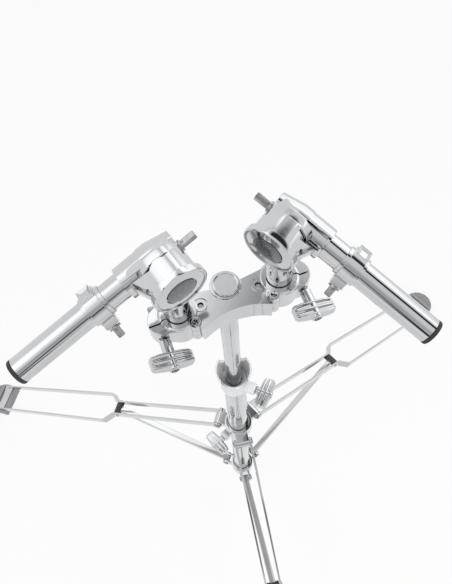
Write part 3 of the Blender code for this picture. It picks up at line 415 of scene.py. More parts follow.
def hinge_place(name, rise):
    """On a leg or strut pivot, with X along the piece and rise radians above level."""
    hinge = joint(name)
    outwards = Vector(hinge["pos_m"]) - bracket_place().translation
    outwards.z = 0
    outwards.normalize()
    along = outwards * math.cos(rise) + UP * math.sin(rise)
    return axes_place(hinge["pos_m"], along, UP.cross(outwards))


def screw_place(name):
    """On a wing screw's axis, with Z along it, away from the column."""
    turn = joint(name)
    facing = Vector(turn["axis"]).to_track_quat("Z", "X").to_matrix().to_4x4()
    return Matrix.Translation(turn["pos_m"]) @ facing


# Shapes


def verts_in(geometry):
    return [item for item in geometry if isinstance(item, bmesh.types.BMVert)]


def outwards_facing(bm):
    bmesh.ops.recalc_face_normals(bm, faces=bm.faces[:])
    return bm


def lathe(profile, steps=ROUND, ring=False):
    """A turned shape about Z from (radius, height) points."""
    bm = bmesh.new()
    verts = [bm.verts.new((radius, 0, height)) for radius, height in profile]
    edges = [bm.edges.new(pair) for pair in zip(verts, verts[1:])]
    if ring:
        edges.append(bm.edges.new((verts[-1], verts[0])))
    bmesh.ops.spin(bm, geom=verts + edges, cent=ORIGIN, axis=UP, angle=TURN, steps=steps, use_merge=True)
    bmesh.ops.remove_doubles(bm, verts=bm.verts[:], dist=WELD * MM)
    return outwards_facing(bm)


def sector(profile, start, sweep, steps):
    """Part of a turned ring about Z, closed at both ends."""
    bm = bmesh.new()
    face = bm.faces.new([bm.verts.new((radius, 0, height)) for radius, height in profile])
    bmesh.ops.rotate(bm, verts=bm.verts[:], cent=ORIGIN, matrix=Matrix.Rotation(start, 3, "Z"))
    bmesh.ops.spin(bm, geom=[face], cent=ORIGIN, axis=UP, angle=sweep, steps=steps, use_duplicate=False)
    return outwards_facing(bm)


def rod(radius, low, high, steps=TINY):
    return lathe([(0, high), (radius, high), (radius, low), (0, low)], steps)


def pipe(inner, outer, low, high, steps=ROUND):
    return lathe([(inner, high), (outer, high), (outer, low), (inner, low)], steps, ring=True)


def box(low, high):
    bm = bmesh.new()
    bmesh.ops.create_cube(bm, size=1)
    size, middle = Vector(high) - Vector(low), (Vector(high) + Vector(low)) / 2
    return moved(bm, Matrix.Translation(middle) @ Matrix.Diagonal((*size, 1)))


def prism(outline, low, high):
    """An outline in XY pushed up from low to high."""
    bm = bmesh.new()
    face = bm.faces.new([bm.verts.new((x, y, low)) for x, y in outline])
    pushed = bmesh.ops.extrude_face_region(bm, geom=[face])["geom"]
    bmesh.ops.translate(bm, verts=verts_in(pushed), vec=(0, 0, high - low))
    return outwards_facing(bm)


def arc(centre, radius, start, end, steps):
    """Points round a centre, from one angle to another."""
    turns = [start + (end - start) * step / steps for step in range(steps + 1)]
    return [(centre[0] + radius * math.cos(turn), centre[1] + radius * math.sin(turn)) for turn in turns]


def stadium(start, end, radius, steps=16):
    """The outline of a bar along X with round ends."""
    outline = arc((start, 0), radius, math.pi / 2, 3 * math.pi / 2, steps)
    return outline + arc((end, 0), radius, -math.pi / 2, math.pi / 2, steps)


def moved(bm, matrix):
    bmesh.ops.transform(bm, matrix=matrix, verts=bm.verts[:])
    if matrix.determinant() < 0:
        bmesh.ops.reverse_faces(bm, faces=bm.faces[:])
    return bm


def shifted(bm, x=0.0, y=0.0, z=0.0):
    return moved(bm, Matrix.Translation((x, y, z)))


def along_x(bm):
    return moved(bm, Matrix.Rotation(math.pi / 2, 4, "Y"))


def along_y(bm):
    return moved(bm, Matrix.Rotation(-math.pi / 2, 4, "X"))


def eased(bm, width, segments=3):
    """Rounds every edge that turns enough to be seen."""
    shared = [edge for edge in bm.edges if len(edge.link_faces) == 2]
    sharp = [edge for edge in shared if edge.calc_face_angle() > ROUNDED_TURN]
    bmesh.ops.bevel(bm, geom=sharp, offset=width, segments=segments, **BEVEL)
    return bm


def as_mesh(name, bm):
    mesh = bpy.data.meshes.new(name)
    bm.to_mesh(mesh)
    bm.free()
    return mesh


def joined(*shapes):
    """Several closed shapes in one mesh."""
    whole = bmesh.new()
    for shape in shapes:
        mesh = as_mesh("joined_shape", shape)
        whole.from_mesh(mesh)
        bpy.data.meshes.remove(mesh)
    return whole


def spanned(*shapes):
    """The bulging solid that just holds all the shapes."""
    bm = bmesh.new()
    for shape in shapes:
        for vert in shape.verts:
            bm.verts.new(vert.co)
        shape.free()
    found = bmesh.ops.convex_hull(bm, input=bm.verts[:])
    spare = set(verts_in(found["geom_interior"] + found["geom_unused"]))
    bmesh.ops.delete(bm, geom=list(spare), context="VERTS")
    return outwards_facing(bm)


def linked(name, data):
    """An object in the scene that holds the data."""
    item = bpy.data.objects.new(name, data)
    bpy.context.scene.collection.objects.link(item)
    return item


def worked(item):
    """The object's mesh with its modifiers carried out."""
    return bpy.data.meshes.new_from_object(item.evaluated_get(bpy.context.evaluated_depsgraph_get()))


def cut(bm, *tools):
    """The shape with every tool cut out of it, worked in millimetres."""
    enlarge = Matrix.Scale(1 / MM, 4)
    target = linked("cut_shape", as_mesh("cut_shape", moved(bm, enlarge)))
    for tool in tools:
        cutter = linked("cutter_shape", as_mesh("cutter_shape", moved(tool, enlarge)))
        boolean = target.modifiers.new("Cut", "BOOLEAN")
        boolean.operation, boolean.solver, boolean.object = "DIFFERENCE", "EXACT", cutter
        target.data = worked(target)
        target.modifiers.clear()
        bpy.data.objects.remove(cutter, do_unlink=True)
    result = bmesh.new()
    result.from_mesh(target.data)
    bpy.data.objects.remove(target, do_unlink=True)
    bmesh.ops.remove_doubles(result, verts=result.verts[:], dist=WELD)
    return moved(result, Matrix.Scale(MM, 4))


def smoothed(name, bm):
    """A smooth mesh whose broad flat faces stay flat between their rounded edges."""
    holder = linked("holder", as_mesh("holder", bm))
    holder.data.shade_smooth()
    holder.data.set_sharp_from_angle(angle=SHARP_TURN)
    flats = holder.modifiers.new("Flats", "WEIGHTED_NORMAL")
    flats.keep_sharp, flats.weight = True, FLAT_WEIGHT
    mesh = worked(holder)
    mesh.name = name
    bpy.data.objects.remove(holder, do_unlink=True)
    return mesh


def publish(name, bm, place, finish, body, *nodes):
    """Makes the finished piece at its place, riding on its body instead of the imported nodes."""
    mesh = smoothed(name, moved(bm, place))
    mesh.materials.append(material(finish))
    item = linked(name, mesh)
    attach(item, body)
    if nodes:
        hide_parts(*nodes)


# Finishes


class Signal:
    """A shader value whose arithmetic adds Math nodes."""

    def __init__(self, paint, socket):
        self.paint, self.socket = paint, socket

    def combined(self, operation, first, second):
        return self.paint.add("ShaderNodeMath", {"operation": operation}, {0: first, 1: second})

    def __add__(self, other):
        return self.combined("ADD", self, other)

    def __radd__(self, other):
        return self.combined("ADD", other, self)

    def __rsub__(self, other):
        return self.combined("SUBTRACT", other, self)

    def __mul__(self, other):
        return self.combined("MULTIPLY", self, other)

    def __rmul__(self, other):
        return self.combined("MULTIPLY", other, self)


class Paint:
    """The node tree of one finish or of the surroundings."""

    def __init__(self, tree):
        self.tree = tree
        tree.nodes.clear()

    def add(self, kind, settings=None, sockets=None, output=0):
        """Adds a node, sets it, feeds its sockets and gives one of its outputs."""
        node = self.tree.nodes.new(kind)
        for key, value in (settings or {}).items():
            if key == "stops":
                for element, stop in zip(node.color_ramp.elements, value):
                    element.position = stop
            else:
                setattr(node, key, value)
        for key, value in (sockets or {}).items():
            if isinstance(value, Signal):
                self.tree.links.new(value.socket, node.inputs[key])
            else:
                node.inputs[key].default_value = value
        return Signal(self, node.outputs[output]) if len(node.outputs) else node

    def place(self, scale):
        """Object coordinates, stretched."""
        object_place = self.add("ShaderNodeTexCoord", output="Object")
        return self.add("ShaderNodeMapping", sockets={"Vector": object_place, "Scale": scale})

    def noise(self, scale, detail, stretch=(1, 1, 1)):
        sockets = {"Vector": self.place(stretch), "Scale": scale, "Detail": detail}
        return self.add("ShaderNodeTexNoise", sockets=sockets)

    def ramp(self, value, low, high):
        """0 up to low and 1 from high."""
        return self.add("ShaderNodeValToRGB", {"stops": (low, high)}, {"Fac": value})

    def tint(self, factor, first, second):
        sockets = {0: factor, 6: (*first, 1), 7: (*second, 1)}
        return self.add("ShaderNodeMix", {"data_type": "RGBA"}, sockets, output=2)

    def bump(self, height, strength, distance):
        sockets = {"Height": height, "Strength": strength, "Distance": distance}
        return self.add("ShaderNodeBump", sockets=sockets)

    def surface(self, **sockets):
        names = {key.replace("_", " ").title(): value for key, value in sockets.items()}
        shader = self.add("ShaderNodeBsdfPrincipled", sockets=names)
        self.add("ShaderNodeOutputMaterial", sockets={"Surface": shader})


def shade(value, factor):
    return tuple(min(1.0, part * factor) for part in value)


def plated(paint, tone, ripple, roughness, metallic=1.0):
    """Chromium plate: faint haze, hairline polish marks and a little ripple."""
    haze = paint.ramp(paint.noise(scale=22, detail=4), low=0.35, high=0.7)
    hairs = paint.noise(scale=900, detail=2, stretch=(1, 1, 0.04))
    wave = paint.noise(scale=120, detail=1)
    paint.surface(
        base_color=paint.tint(haze, shade(tone, 1.03), shade(tone, 0.94)),
        metallic=metallic,
        roughness=roughness + 0.03 * haze + 0.02 * hairs,
        normal=paint.bump(wave + 0.06 * hairs, strength=ripple, distance=0.4 * MM),
    )


def bright_steel(paint, tone):
    """Zinc-bright bolts with turning marks and grease in the low spots."""
    marks = paint.noise(scale=700, detail=3, stretch=(1, 1, 0.15))
    grime = paint.ramp(paint.noise(scale=160, detail=4), low=0.45, high=0.75)
    paint.surface(
        base_color=paint.tint(grime, tone, shade(tone, 0.6)),
        metallic=1.0,
        roughness=0.2 + 0.12 * marks + 0.1 * grime,
        normal=paint.bump(marks, strength=0.12, distance=0.3 * MM),
    )


def moulded_rubber(paint, tone, grain):
    """Matt moulded rubber with a fine grain, paler where it is rubbed."""
    pores = paint.noise(scale=grain, detail=4)
    rubbed = paint.ramp(paint.noise(scale=70, detail=5), low=0.5, high=0.8)
    paint.surface(
        base_color=paint.tint(rubbed, tone, shade(tone, 1.5)),
        roughness=0.52 + 0.2 * pores,
        normal=paint.bump(pores, strength=0.25, distance=0.2 * MM),
    )


def badge_gloss(paint, tone):
    """A plain dark badge with a fine sparkle under its clear coat."""
    sparkle = paint.ramp(paint.noise(scale=1500, detail=2), low=0.5, high=0.72)
    cloud = paint.noise(scale=90, detail=3)
    paint.surface(
        base_color=paint.tint(sparkle, tone, shade(tone, 4)),
        metallic=0.4,
        roughness=0.16 + 0.12 * cloud,
        coat_weight=0.6,
        coat_roughness=0.05,
    )


def dark_nylon(paint, tone):
    """Dark nylon with a fine grain and faint blotches."""
    grain = paint.noise(scale=1300, detail=3)
    blotch = paint.noise(scale=60, detail=3)
    paint.surface(
        base_color=paint.tint(blotch, tone, shade(tone, 1.6)),
        roughness=0.42 + 0.15 * grain,
        normal=paint.bump(grain, strength=0.15, distance=0.2 * MM),
    )


# Finishes by name: slot, maker, colour and what else the maker takes
FINISHES = {
    "chrome_tube": ("chrome", plated, "chrome", {"ripple": 0.01, "roughness": 0.035}),
    "chrome_cast": ("chrome", plated, "chrome", {"ripple": 0.05, "roughness": 0.045}),
    # Collar plate: rougher and less metallic, with its base colour painted paler as painted light against the
    # shade in its cup
    "satin_cast": ("chrome", plated, "satin", {"ripple": 0.05, "roughness": 0.4, "metallic": 0.25}),
    "bright_steel": ("steel", bright_steel, "steel", {}),
    "cap_rubber": ("rubber", moulded_rubber, "rubber", {"grain": 2200}),
    "foot_rubber": ("foot_rubber", moulded_rubber, "foot", {"grain": 1500}),
    "badge_gloss": ("badge", badge_gloss, "badge", {}),
    "dark_nylon": ("nylon", dark_nylon, "nylon", {}),
}


def new_material(name):
    """A material of that name and its empty node tree."""
    made = bpy.data.materials.new(name)
    made.use_nodes = True
    return made, Paint(made.node_tree)


def material(finish):
    """The finish of that name, made on its first use."""
    found = bpy.data.materials.get(finish)
    if found:
        return found
    made, paint = new_material(finish)
    maker, tone, options = FINISHES[finish][1:]
    maker(paint, getattr(bpy.context.scene.tom_colours, tone), **options)
    return made


# Pieces

# A key bolt's turns of thread
THREAD_TURNS = 4
# Section of a cover in millimetres, out from its badge and in from its rim, with depths below its front
BADGE_SEAT = ((0.5, 1.4), (0.9, 0.3))
DISC_RIM = ((3, 1.1), (2.85, 1.6), (2.25, 1.6), (2.1, 0.2), (1.4, 0), (0.4, 0.5), (0, 1.5))
# A badge's dome: share of its thickness, angles of its points in radians, share left at its edge
BADGE_DOME, BADGE_TURNS, BADGE_EDGE = 0.45, (1.2, 0.8, 0.4, 0.1), 0.4
# Ribs of a foot
RIBS = 3
# Steps round a socket's ring and its gate
RING_STEPS, GATE_STEPS = 72, 56
# A wing: finger grooves, bluntness, plain share at each end, and shares of its span with the sizes there
WING_GROOVES, WING_BLUNT, WING_PLAIN = 3, 2.2, 0.12
WING_PUSHES, WING_END, WING_NOSE, WING_ROUND = ((0.55, 0.96), (0.33, 0.86)), 0.09, 0.03, 0.86


class ArmTubes(bpy.types.Operator):
    """Drawn arm tubes and their rubber caps"""

    bl_idname = "tom_stand.arm_tubes"
    bl_label = "Arm tubes"

    def cap(self, sizes, reach):
        """A rubber cap with a rounded edge, a shallow dish and a plug inside the tube."""
        start, plug = reach - sizes.cap_band, sizes.radius - sizes.wall - sizes.gap
        edge, rim = sizes.radius - sizes.cap_round, 2 * sizes.cap_round
        floor, end = reach - sizes.cap_round / 3, start - sizes.cap_plug
        profile = [(0, floor), (edge - rim, floor), (edge - rim / 2, reach)]
        profile += arc((edge, reach - sizes.cap_round), sizes.cap_round, math.pi / 2, 0, FEW)
        profile += [(sizes.radius, start), (plug, start), (plug, end), (0, end)]
        return along_x(lathe(profile, WIDE))

    def execute(self, context):
        sizes = context.scene.tom_tube
        inner = sizes.radius - sizes.wall
        for side, reach in zip(SIDES, (sizes.reach_left, sizes.reach_right)):
            body, place = f"{side}_tube", tube_place(side)
            tube = pipe(inner, sizes.radius, sizes.inner_end, reach - sizes.cap_band - sizes.gap, WIDE)
            tube = along_x(eased(tube, context.scene.tom_edge.strip))
            publish(f"{side}_drawn_tube", tube, place, "chrome_tube", body, f"{side}_arm_tube")
            cap = self.cap(sizes, reach)
            publish(f"{side}_tube_cap", cap, place, "cap_rubber", body, f"{side}_end_cap")
        return {"FINISHED"}


def key_bolt(sizes, head_long):
    """A flanged key bolt along Z: its flange on z = 0, then a collar of thread and a square head."""
    edges = bpy.context.scene.tom_edge
    half, flange, pitch = sizes.key_wide / 2, sizes.flange_thick, sizes.thread_pitch
    collar, sunk = half * sizes.thread_size, flange / 2
    washer = eased(rod(sizes.flange_radius, 0, flange, PIN), edges.tube)
    thread = [(0, flange + THREAD_TURNS * pitch)]
    for turn in reversed(range(THREAD_TURNS)):
        height = flange + turn * pitch
        thread += [(collar - sizes.thread_deep, height + pitch / 2), (collar, height)]
    thread += [(collar, sunk), (0, sunk)]
    head = eased(box((-half, -half, sunk), (half, half, flange + head_long)), edges.key)
    shank = rod(sizes.shank_radius, -sizes.shank_long, sunk)
    return joined(washer, lathe(thread, SMALL), head, shank)


class ArmLocks(bpy.types.Operator):
    """Memory locks on the tubes, each with a lug, a recessed block and a key bolt"""

    bl_idname = "tom_stand.arm_locks"
    bl_label = "Arm locks"

    def block(self, sizes, bore, inset, wide, edge):
        """The block behind the tube, with its square recess."""
        knob = box((-inset, -bore - sizes.block_reach, -wide), (inset, -bore - sizes.lock_wall / 2, wide))
        back = [min(knob.faces, key=lambda face: face.normal.y)]
        bmesh.ops.inset_region(knob, faces=back, thickness=sizes.recess_edge, use_even_offset=True)
        bmesh.ops.translate(knob, verts=back[0].verts, vec=(0, sizes.block_recess, 0))
        return moved(eased(knob, edge), Matrix.Rotation(sizes.block_turn, 4, "X"))

    def execute(self, context):
        sizes, head, edges = context.scene.tom_tube, context.scene.tom_head, context.scene.tom_edge
        bore, wide = sizes.radius + sizes.gap, sizes.lug_wide / 2
        outer, thin = bore + sizes.lock_wall, bore + sizes.sleeve_wall
        half = sizes.lock_wide / 2
        sleeve, inset = half + sizes.sleeve_reach, half - sizes.lug_inset
        profile = [(bore, sleeve), (thin, sleeve), (thin, half), (outer, half)]
        profile += [(radius, -height) for radius, height in reversed(profile)]
        lug_top = bore + sizes.lug_reach
        lean = Matrix.Translation((sizes.lock_at, 0, 0)) @ Matrix.Rotation(sizes.lean, 4, "X")
        for side in SIDES:
            seat, body = tube_place(side) @ lean, f"{side}_lock"
            ring = eased(along_x(lathe(profile, WIDE, ring=True)), edges.ring)
            lug = box((-inset, bore + sizes.lock_wall / 2, -wide), (inset, lug_top, wide))
            lock = joined(ring, eased(lug, edges.lug), self.block(sizes, bore, inset, wide, edges.block))
            publish(f"{side}_memory_lock", lock, seat, "chrome_cast", body, f"{side}_arm_lock")
            bolt = shifted(along_y(key_bolt(head, head.key_long)), y=lug_top + sizes.gap)
            publish(f"{side}_lock_key_bolt", bolt, seat, "bright_steel", body, f"{side}_lock_bolt")
        return {"FINISHED"}


class TiltHeads(bpy.types.Operator):
    """Castings that grip the tubes and cover the necks, with their cuts and rear bolts"""

    bl_idname = "tom_stand.tilt_heads"
    bl_label = "Tilting heads"

    def on_tube(self, sizes, bm):
        """The shape moved from the tilt axis to the tube's axis."""
        return shifted(bm, y=-sizes.tube_offset, z=-sizes.tube_drop)

    def cuts(self, sizes, side, reach):
        """The left head's slit, notch and open groove, or the right head's window, leaning to the disc."""
        low, mouth = 2 * sizes.rear_x, 2 * sizes.mouth_x
        start, half = sizes.window_low, sizes.window_half
        if side == "right":
            tools = [box((start, -half, 0), (sizes.window_high, half, reach))]
        else:
            notch = sizes.notch_half
            tools = [
                box((low, -sizes.slit / 2, 0), (start, sizes.slit / 2, reach)),
                box((start - sizes.notch_long, -notch, 0), (start, notch, reach)),
                box((start - sizes.slit, -sizes.groove_half, 0), (mouth, sizes.groove_half, reach)),
            ]
        lean = Matrix.Rotation(-sizes.cut_lean, 4, "X")
        return [self.on_tube(sizes, moved(tool, lean)) for tool in tools]

    def shell(self, sizes, bore, gap):
        """The body between sleeve and disc, hollow over the neck and open below it."""
        face, front = -sizes.neck_back - gap, sizes.neck_thick - sizes.neck_back
        core = rod(bore - gap, sizes.rear_x + sizes.taper, sizes.mouth_x - sizes.mouth_wall, WIDE)
        hood = along_y(rod(sizes.hood_radius, face, front, BROAD))
        body = spanned(self.on_tube(sizes, along_x(core)), hood)
        far = 3 * sizes.hood_radius
        neck = along_y(rod(sizes.neck_radius + sizes.hood_play, face, 2 * front, BROAD))
        lean = (sizes.stem_room + far * math.sin(sizes.stem_lean), far * math.cos(sizes.stem_lean))
        below = along_y(prism([(-far, 0), (sizes.stem_room, 0), lean, (-far, far)], face, far))
        tube = self.on_tube(sizes, along_x(rod(bore, sizes.bore_end, far, WIDE)))
        screw = shifted(rod(sizes.hole_radius, sizes.hole_radius, far), sizes.hole_x, sizes.hole_y)
        return cut(body, neck, below, tube, screw)

    def execute(self, context):
        sizes, tube, edges = context.scene.tom_head, context.scene.tom_tube, context.scene.tom_edge
        bore = tube.radius + tube.gap
        mouth, body = bore + sizes.mouth_wall, bore + sizes.body_wall
        rear, face = sizes.rear_x, -sizes.neck_back - tube.gap
        shoulder = sizes.step_x - sizes.mouth_wall / 2
        profile = [(bore, sizes.mouth_x), (mouth, sizes.mouth_x), (mouth, sizes.step_x), (body, shoulder)]
        profile += [(body, rear + sizes.taper_long), (body - sizes.taper, rear), (0, rear)]
        profile += [(0, sizes.bore_end), (bore, sizes.bore_end), (bore, sizes.mouth_x)]
        backwards = Matrix.Rotation(-math.pi / 2, 4, "Y")
        seat = Matrix.Translation((rear - tube.gap, sizes.stud_shift, 0)) @ backwards
        for side in SIDES:
            sleeve = self.on_tube(sizes, along_x(eased(lathe(profile, WIDE), edges.sleeve)))
            sleeve = cut(sleeve, *self.cuts(sizes, side, 2 * body))
            shell = cut(self.shell(sizes, bore, tube.gap), *self.cuts(sizes, side, 2 * body))
            drum = eased(along_y(rod(sizes.drum_radius, face - sizes.drum_thick, face, WIDE)), edges.post)
            casting, place, rides = joined(sleeve, drum, shell), tilt_place(side), f"{side}_head"
            publish(f"{side}_head_casting", casting, place, "chrome_cast", rides, f"{side}_tilter_body")
            bolt, place = key_bolt(sizes, sizes.stud_long), tube_place(side) @ seat
            publish(f"{side}_rear_key_bolt", bolt, place, "bright_steel", rides, f"{side}_tilter_bolt")
        return {"FINISHED"}


class HeadDiscs(bpy.types.Operator):
    """Round covers with a grooved rim, a sloped band and a plain badge"""

    bl_idname = "tom_stand.head_discs"
    bl_label = "Head discs"

    def execute(self, context):
        sizes, gap, edge = context.scene.tom_head, context.scene.tom_tube.gap, context.scene.tom_edge.disc
        start = sizes.neck_thick - sizes.neck_back + gap
        front = start + sizes.disc_thick
        radius, badge, thick = sizes.disc_radius, sizes.badge_radius, sizes.badge_thick
        profile = [(badge + out * MM, front - deep * MM) for out, deep in BADGE_SEAT]
        floor = profile[0][1]
        profile = [(0, floor), *profile]
        profile += [(radius - inwards * MM, front - deep * MM) for inwards, deep in DISC_RIM]
        profile += [(radius, start), (0, start)]
        seat = floor + gap
        rise = [(badge * math.cos(turn), 1 - BADGE_DOME * (1 - math.sin(turn))) for turn in BADGE_TURNS]
        shell = [(0, 1), *rise, (badge, BADGE_EDGE), (badge, 0), (0, 0)]
        shell = [(out, seat + thick * share) for out, share in shell]
        for side in SIDES:
            place, body = tilt_place(side), f"{side}_head"
            cover = eased(along_y(lathe(profile, BROAD)), edge, segments=2)
            publish(f"{side}_head_disc", cover, place, "chrome_cast", body, f"{side}_gyro_disc")
            plate = along_y(lathe(shell, WIDE))
            publish(f"{side}_plain_badge", plate, place, "badge_gloss", body, f"{side}_gyro_badge")
        return {"FINISHED"}


class ArmPosts(bpy.types.Operator):
    """Upright posts with the flat round necks that carry the heads"""

    bl_idname = "tom_stand.arm_posts"
    bl_label = "Arm posts"

    def execute(self, context):
        sizes, tube, edge = context.scene.tom_head, context.scene.tom_tube, context.scene.tom_edge.post
        top, back = sizes.rise - sizes.neck_drop, sizes.neck_back
        stem, sunk = tube.radius - sizes.stem_inset, -sizes.neck_drop - sizes.stem_sunk
        opening = math.asin(stem / sizes.neck_radius)
        outline = arc((0, 0), sizes.neck_radius, opening - math.pi / 2, 3 * math.pi / 2 - opening, ROUND)
        outline += [(-stem, sunk), (stem, sunk)]
        upright = Matrix.Translation((0, 0, sizes.rise)) @ Matrix.Rotation(math.pi / 2, 4, "X")
        for side in SIDES:
            post = eased(rod(tube.radius, -sizes.post_tail, top, WIDE), edge)
            neck = eased(prism(outline, back - sizes.neck_thick, back), edge)
            spindle = along_y(rod(sizes.spindle_radius, -back - sizes.spindle_long, sizes.neck_thick / 2))
            whole = joined(post, moved(neck, upright), shifted(spindle, z=sizes.rise))
            place, body = swivel_place(side), f"{side}_swivel"
            publish(f"{side}_upright_post", whole, place, "chrome_tube", body, f"{side}_arm_post")
        return {"FINISHED"}


def clamp_ear(sizes, keep_front):
    """One half of the rounded clamp ears, on one side of the split."""
    radius, middle = (sizes.ear_back - sizes.ear_front) / 2, (sizes.ear_back + sizes.ear_front) / 2
    lobe = arc((sizes.ear_reach - radius, middle), radius, -math.pi / 2, math.pi / 2, SMALL)
    outline = [(0, sizes.ear_front), *lobe, (0, sizes.ear_back)]
    ears = eased(prism(outline, sizes.proud - sizes.thick, -sizes.ear_low), sizes.bevel / 2)
    far, split = 3 * sizes.ear_reach, sizes.split / 2
    other = (sizes.split_y - split, far) if keep_front else (-far, sizes.split_y + split)
    away = box((-far, other[0], -far), (far, other[1], far))
    return cut(ears, away, rod(sizes.bore + sizes.proud, -far, far, WIDE))


def socket_ring(sizes, edge, start, end, steps):
    """A socket's wall from one angle to another, bevelled round its top."""
    bore, bevel, belly = sizes.bore, sizes.bevel, sizes.bevel * sizes.bevel_belly
    outer = bore + sizes.socket_wall
    profile = [(bore + sizes.rim, 0), (outer - bevel, 0), (outer - belly, -belly), (outer, -bevel)]
    profile += [(outer, -sizes.thick), (bore, -sizes.thick), (bore, -sizes.rim)]
    return eased(sector(profile, start, end - start, steps), edge, segments=2)


def split_angle(sizes, sign):
    """Where the split meets the socket's outer wall, on one of its sides."""
    return math.asin((sizes.split_y + sign * sizes.split / 2) / (sizes.bore + sizes.socket_wall))


def pin_angle(sizes):
    return math.atan2(sizes.pin_y, sizes.pin_x) % TURN


def web_outline(sizes):
    """The casting between its sockets: hollow in front, ending inside the socket walls."""
    rise = sizes.web_front + sizes.web_end_y
    radius = (sizes.web_end_x**2 + rise**2) / (2 * abs(rise))
    half = math.asin(sizes.web_end_x / radius)
    outline = arc((0, -sizes.web_front - radius), radius, math.pi / 2 + half, math.pi / 2 - half, PIN)
    wall = sizes.bore + sizes.socket_wall / 2
    right = arc((sizes.socket_x, sizes.socket_y), wall, sizes.web_low, sizes.web_high, SHORT)
    outline += right + [(sizes.boss_radius, sizes.web_back), (-sizes.boss_radius, sizes.web_back)]
    return outline + [(-x, y) for x, y in reversed(right)]


class Bracket(bpy.types.Operator):
    """Bracket casting with bevelled web, sockets, ears and the plain disc on its boss"""

    bl_idname = "tom_stand.bracket"
    bl_label = "Bracket"

    def sockets(self, sizes, gap, edge):
        """Both sockets' rings, ears and knuckles, and what they cut from the web."""
        tall, start = 2 * sizes.thick, split_angle(sizes, 1)
        knuckle_low, knuckle_high = sizes.knuckle_thick - sizes.thick, -sizes.knuckle_thick
        pin, screw = (sizes.pin_x, sizes.pin_y), (sizes.screw_x, sizes.screw_y)
        groove = sizes.groove_inner
        parts, tools = [], []
        for side in reversed(SIDES):
            seat = socket_seat(side)
            ring = socket_ring(sizes, edge, start, pin_angle(sizes), RING_STEPS)
            knuckle = rod(sizes.knuckle_radius, knuckle_low, knuckle_high, PIN)
            solid = (ring, clamp_ear(sizes, keep_front=False), shifted(knuckle, *pin))
            hole = rod(sizes.hole_radius, -tall, tall, SMALL)
            round_groove = pipe(groove, groove + sizes.groove_wide, -sizes.groove_deep, tall)
            gate_room = rod(sizes.knuckle_radius + gap, -tall, tall, PIN)
            hollow = (shifted(hole, *screw), shifted(round_groove, *screw), shifted(gate_room, *pin))
            parts += [moved(shape, seat) for shape in solid]
            tools += [moved(shape, seat) for shape in hollow]
        return parts, tools

    def disc(self, sizes, gap, edge):
        """The plain dished disc on the boss."""
        seat, radius, dish = sizes.proud + gap, sizes.cap_radius, sizes.cap_dish
        top, rim = seat + sizes.cap_thick, radius - sizes.cap_rim
        profile = [(0, top - dish), (rim - dish, top - dish), (rim, top), (radius - sizes.cap_edge, top)]
        profile += [(radius, top - sizes.cap_drop), (radius, seat), (0, seat)]
        return eased(lathe(profile, WIDE), edge, segments=2)

    def execute(self, context):
        sizes, edges, gap = context.scene.tom_bracket, context.scene.tom_edge, context.scene.tom_tube.gap
        tall, bore = 2 * sizes.thick, context.scene.tom_column.post_radius + gap
        web = prism(web_outline(sizes), sizes.proud - sizes.thick, -sizes.proud)
        rims = [edge for edge in web.edges if abs(edge.verts[0].co.z - edge.verts[1].co.z) < NEAR]
        bmesh.ops.bevel(web, geom=rims, offset=sizes.bevel, segments=2, **BEVEL)
        boss = eased(rod(sizes.boss_radius, -sizes.thick - sizes.proud, sizes.proud, WIDE), edges.post)
        parts, tools = self.sockets(sizes, gap, edges.socket)
        web = cut(web, rod(bore, -tall, -sizes.web_roof, ROUND), *tools)
        boss = cut(boss, rod(bore, -tall, -sizes.boss_roof, ROUND))
        place = bracket_place()
        publish("bracket_casting", joined(web, boss, *parts), place, "chrome_cast", "post", "bracket")
        disc = self.disc(sizes, gap, edges.socket)
        publish("boss_disc", disc, place, "chrome_cast", "post", "boss_cap")
        return {"FINISHED"}


class Gates(bpy.types.Operator):
    """Hinged front halves of the sockets"""

    bl_idname = "tom_stand.gates"
    bl_label = "Socket gates"

    def execute(self, context):
        sizes, wing = context.scene.tom_bracket, context.scene.tom_wing
        edges, gap = context.scene.tom_edge, context.scene.tom_tube.gap
        start, end = pin_angle(sizes) + sizes.gate_play, split_angle(sizes, -1) + TURN
        tall = 2 * sizes.thick
        lower = (-sizes.thick - sizes.proud, sizes.knuckle_thick - sizes.thick - gap)
        for side in SIDES:
            ring = socket_ring(sizes, edges.socket, start, end, GATE_STEPS)
            bolt = along_y(rod(wing.bolt_radius + wing.play, -tall, tall))
            bolt = shifted(bolt, x=wing.bolt_x, z=-(sizes.thick + sizes.ear_low) / 2)
            parts = [ring, cut(clamp_ear(sizes, keep_front=True), bolt)]
            for low, high in (lower, (-sizes.knuckle_thick, sizes.proud)):
                knuckle = eased(pipe(sizes.hole_radius, sizes.knuckle_radius, low, high, PIN), edges.knuckle)
                parts.append(shifted(knuckle, sizes.pin_x, sizes.pin_y))
            body = f"{side}_gate"
            publish(f"{side}_socket_gate", joined(*parts), socket_place(side), "chrome_cast", body, body)
        return {"FINISHED"}


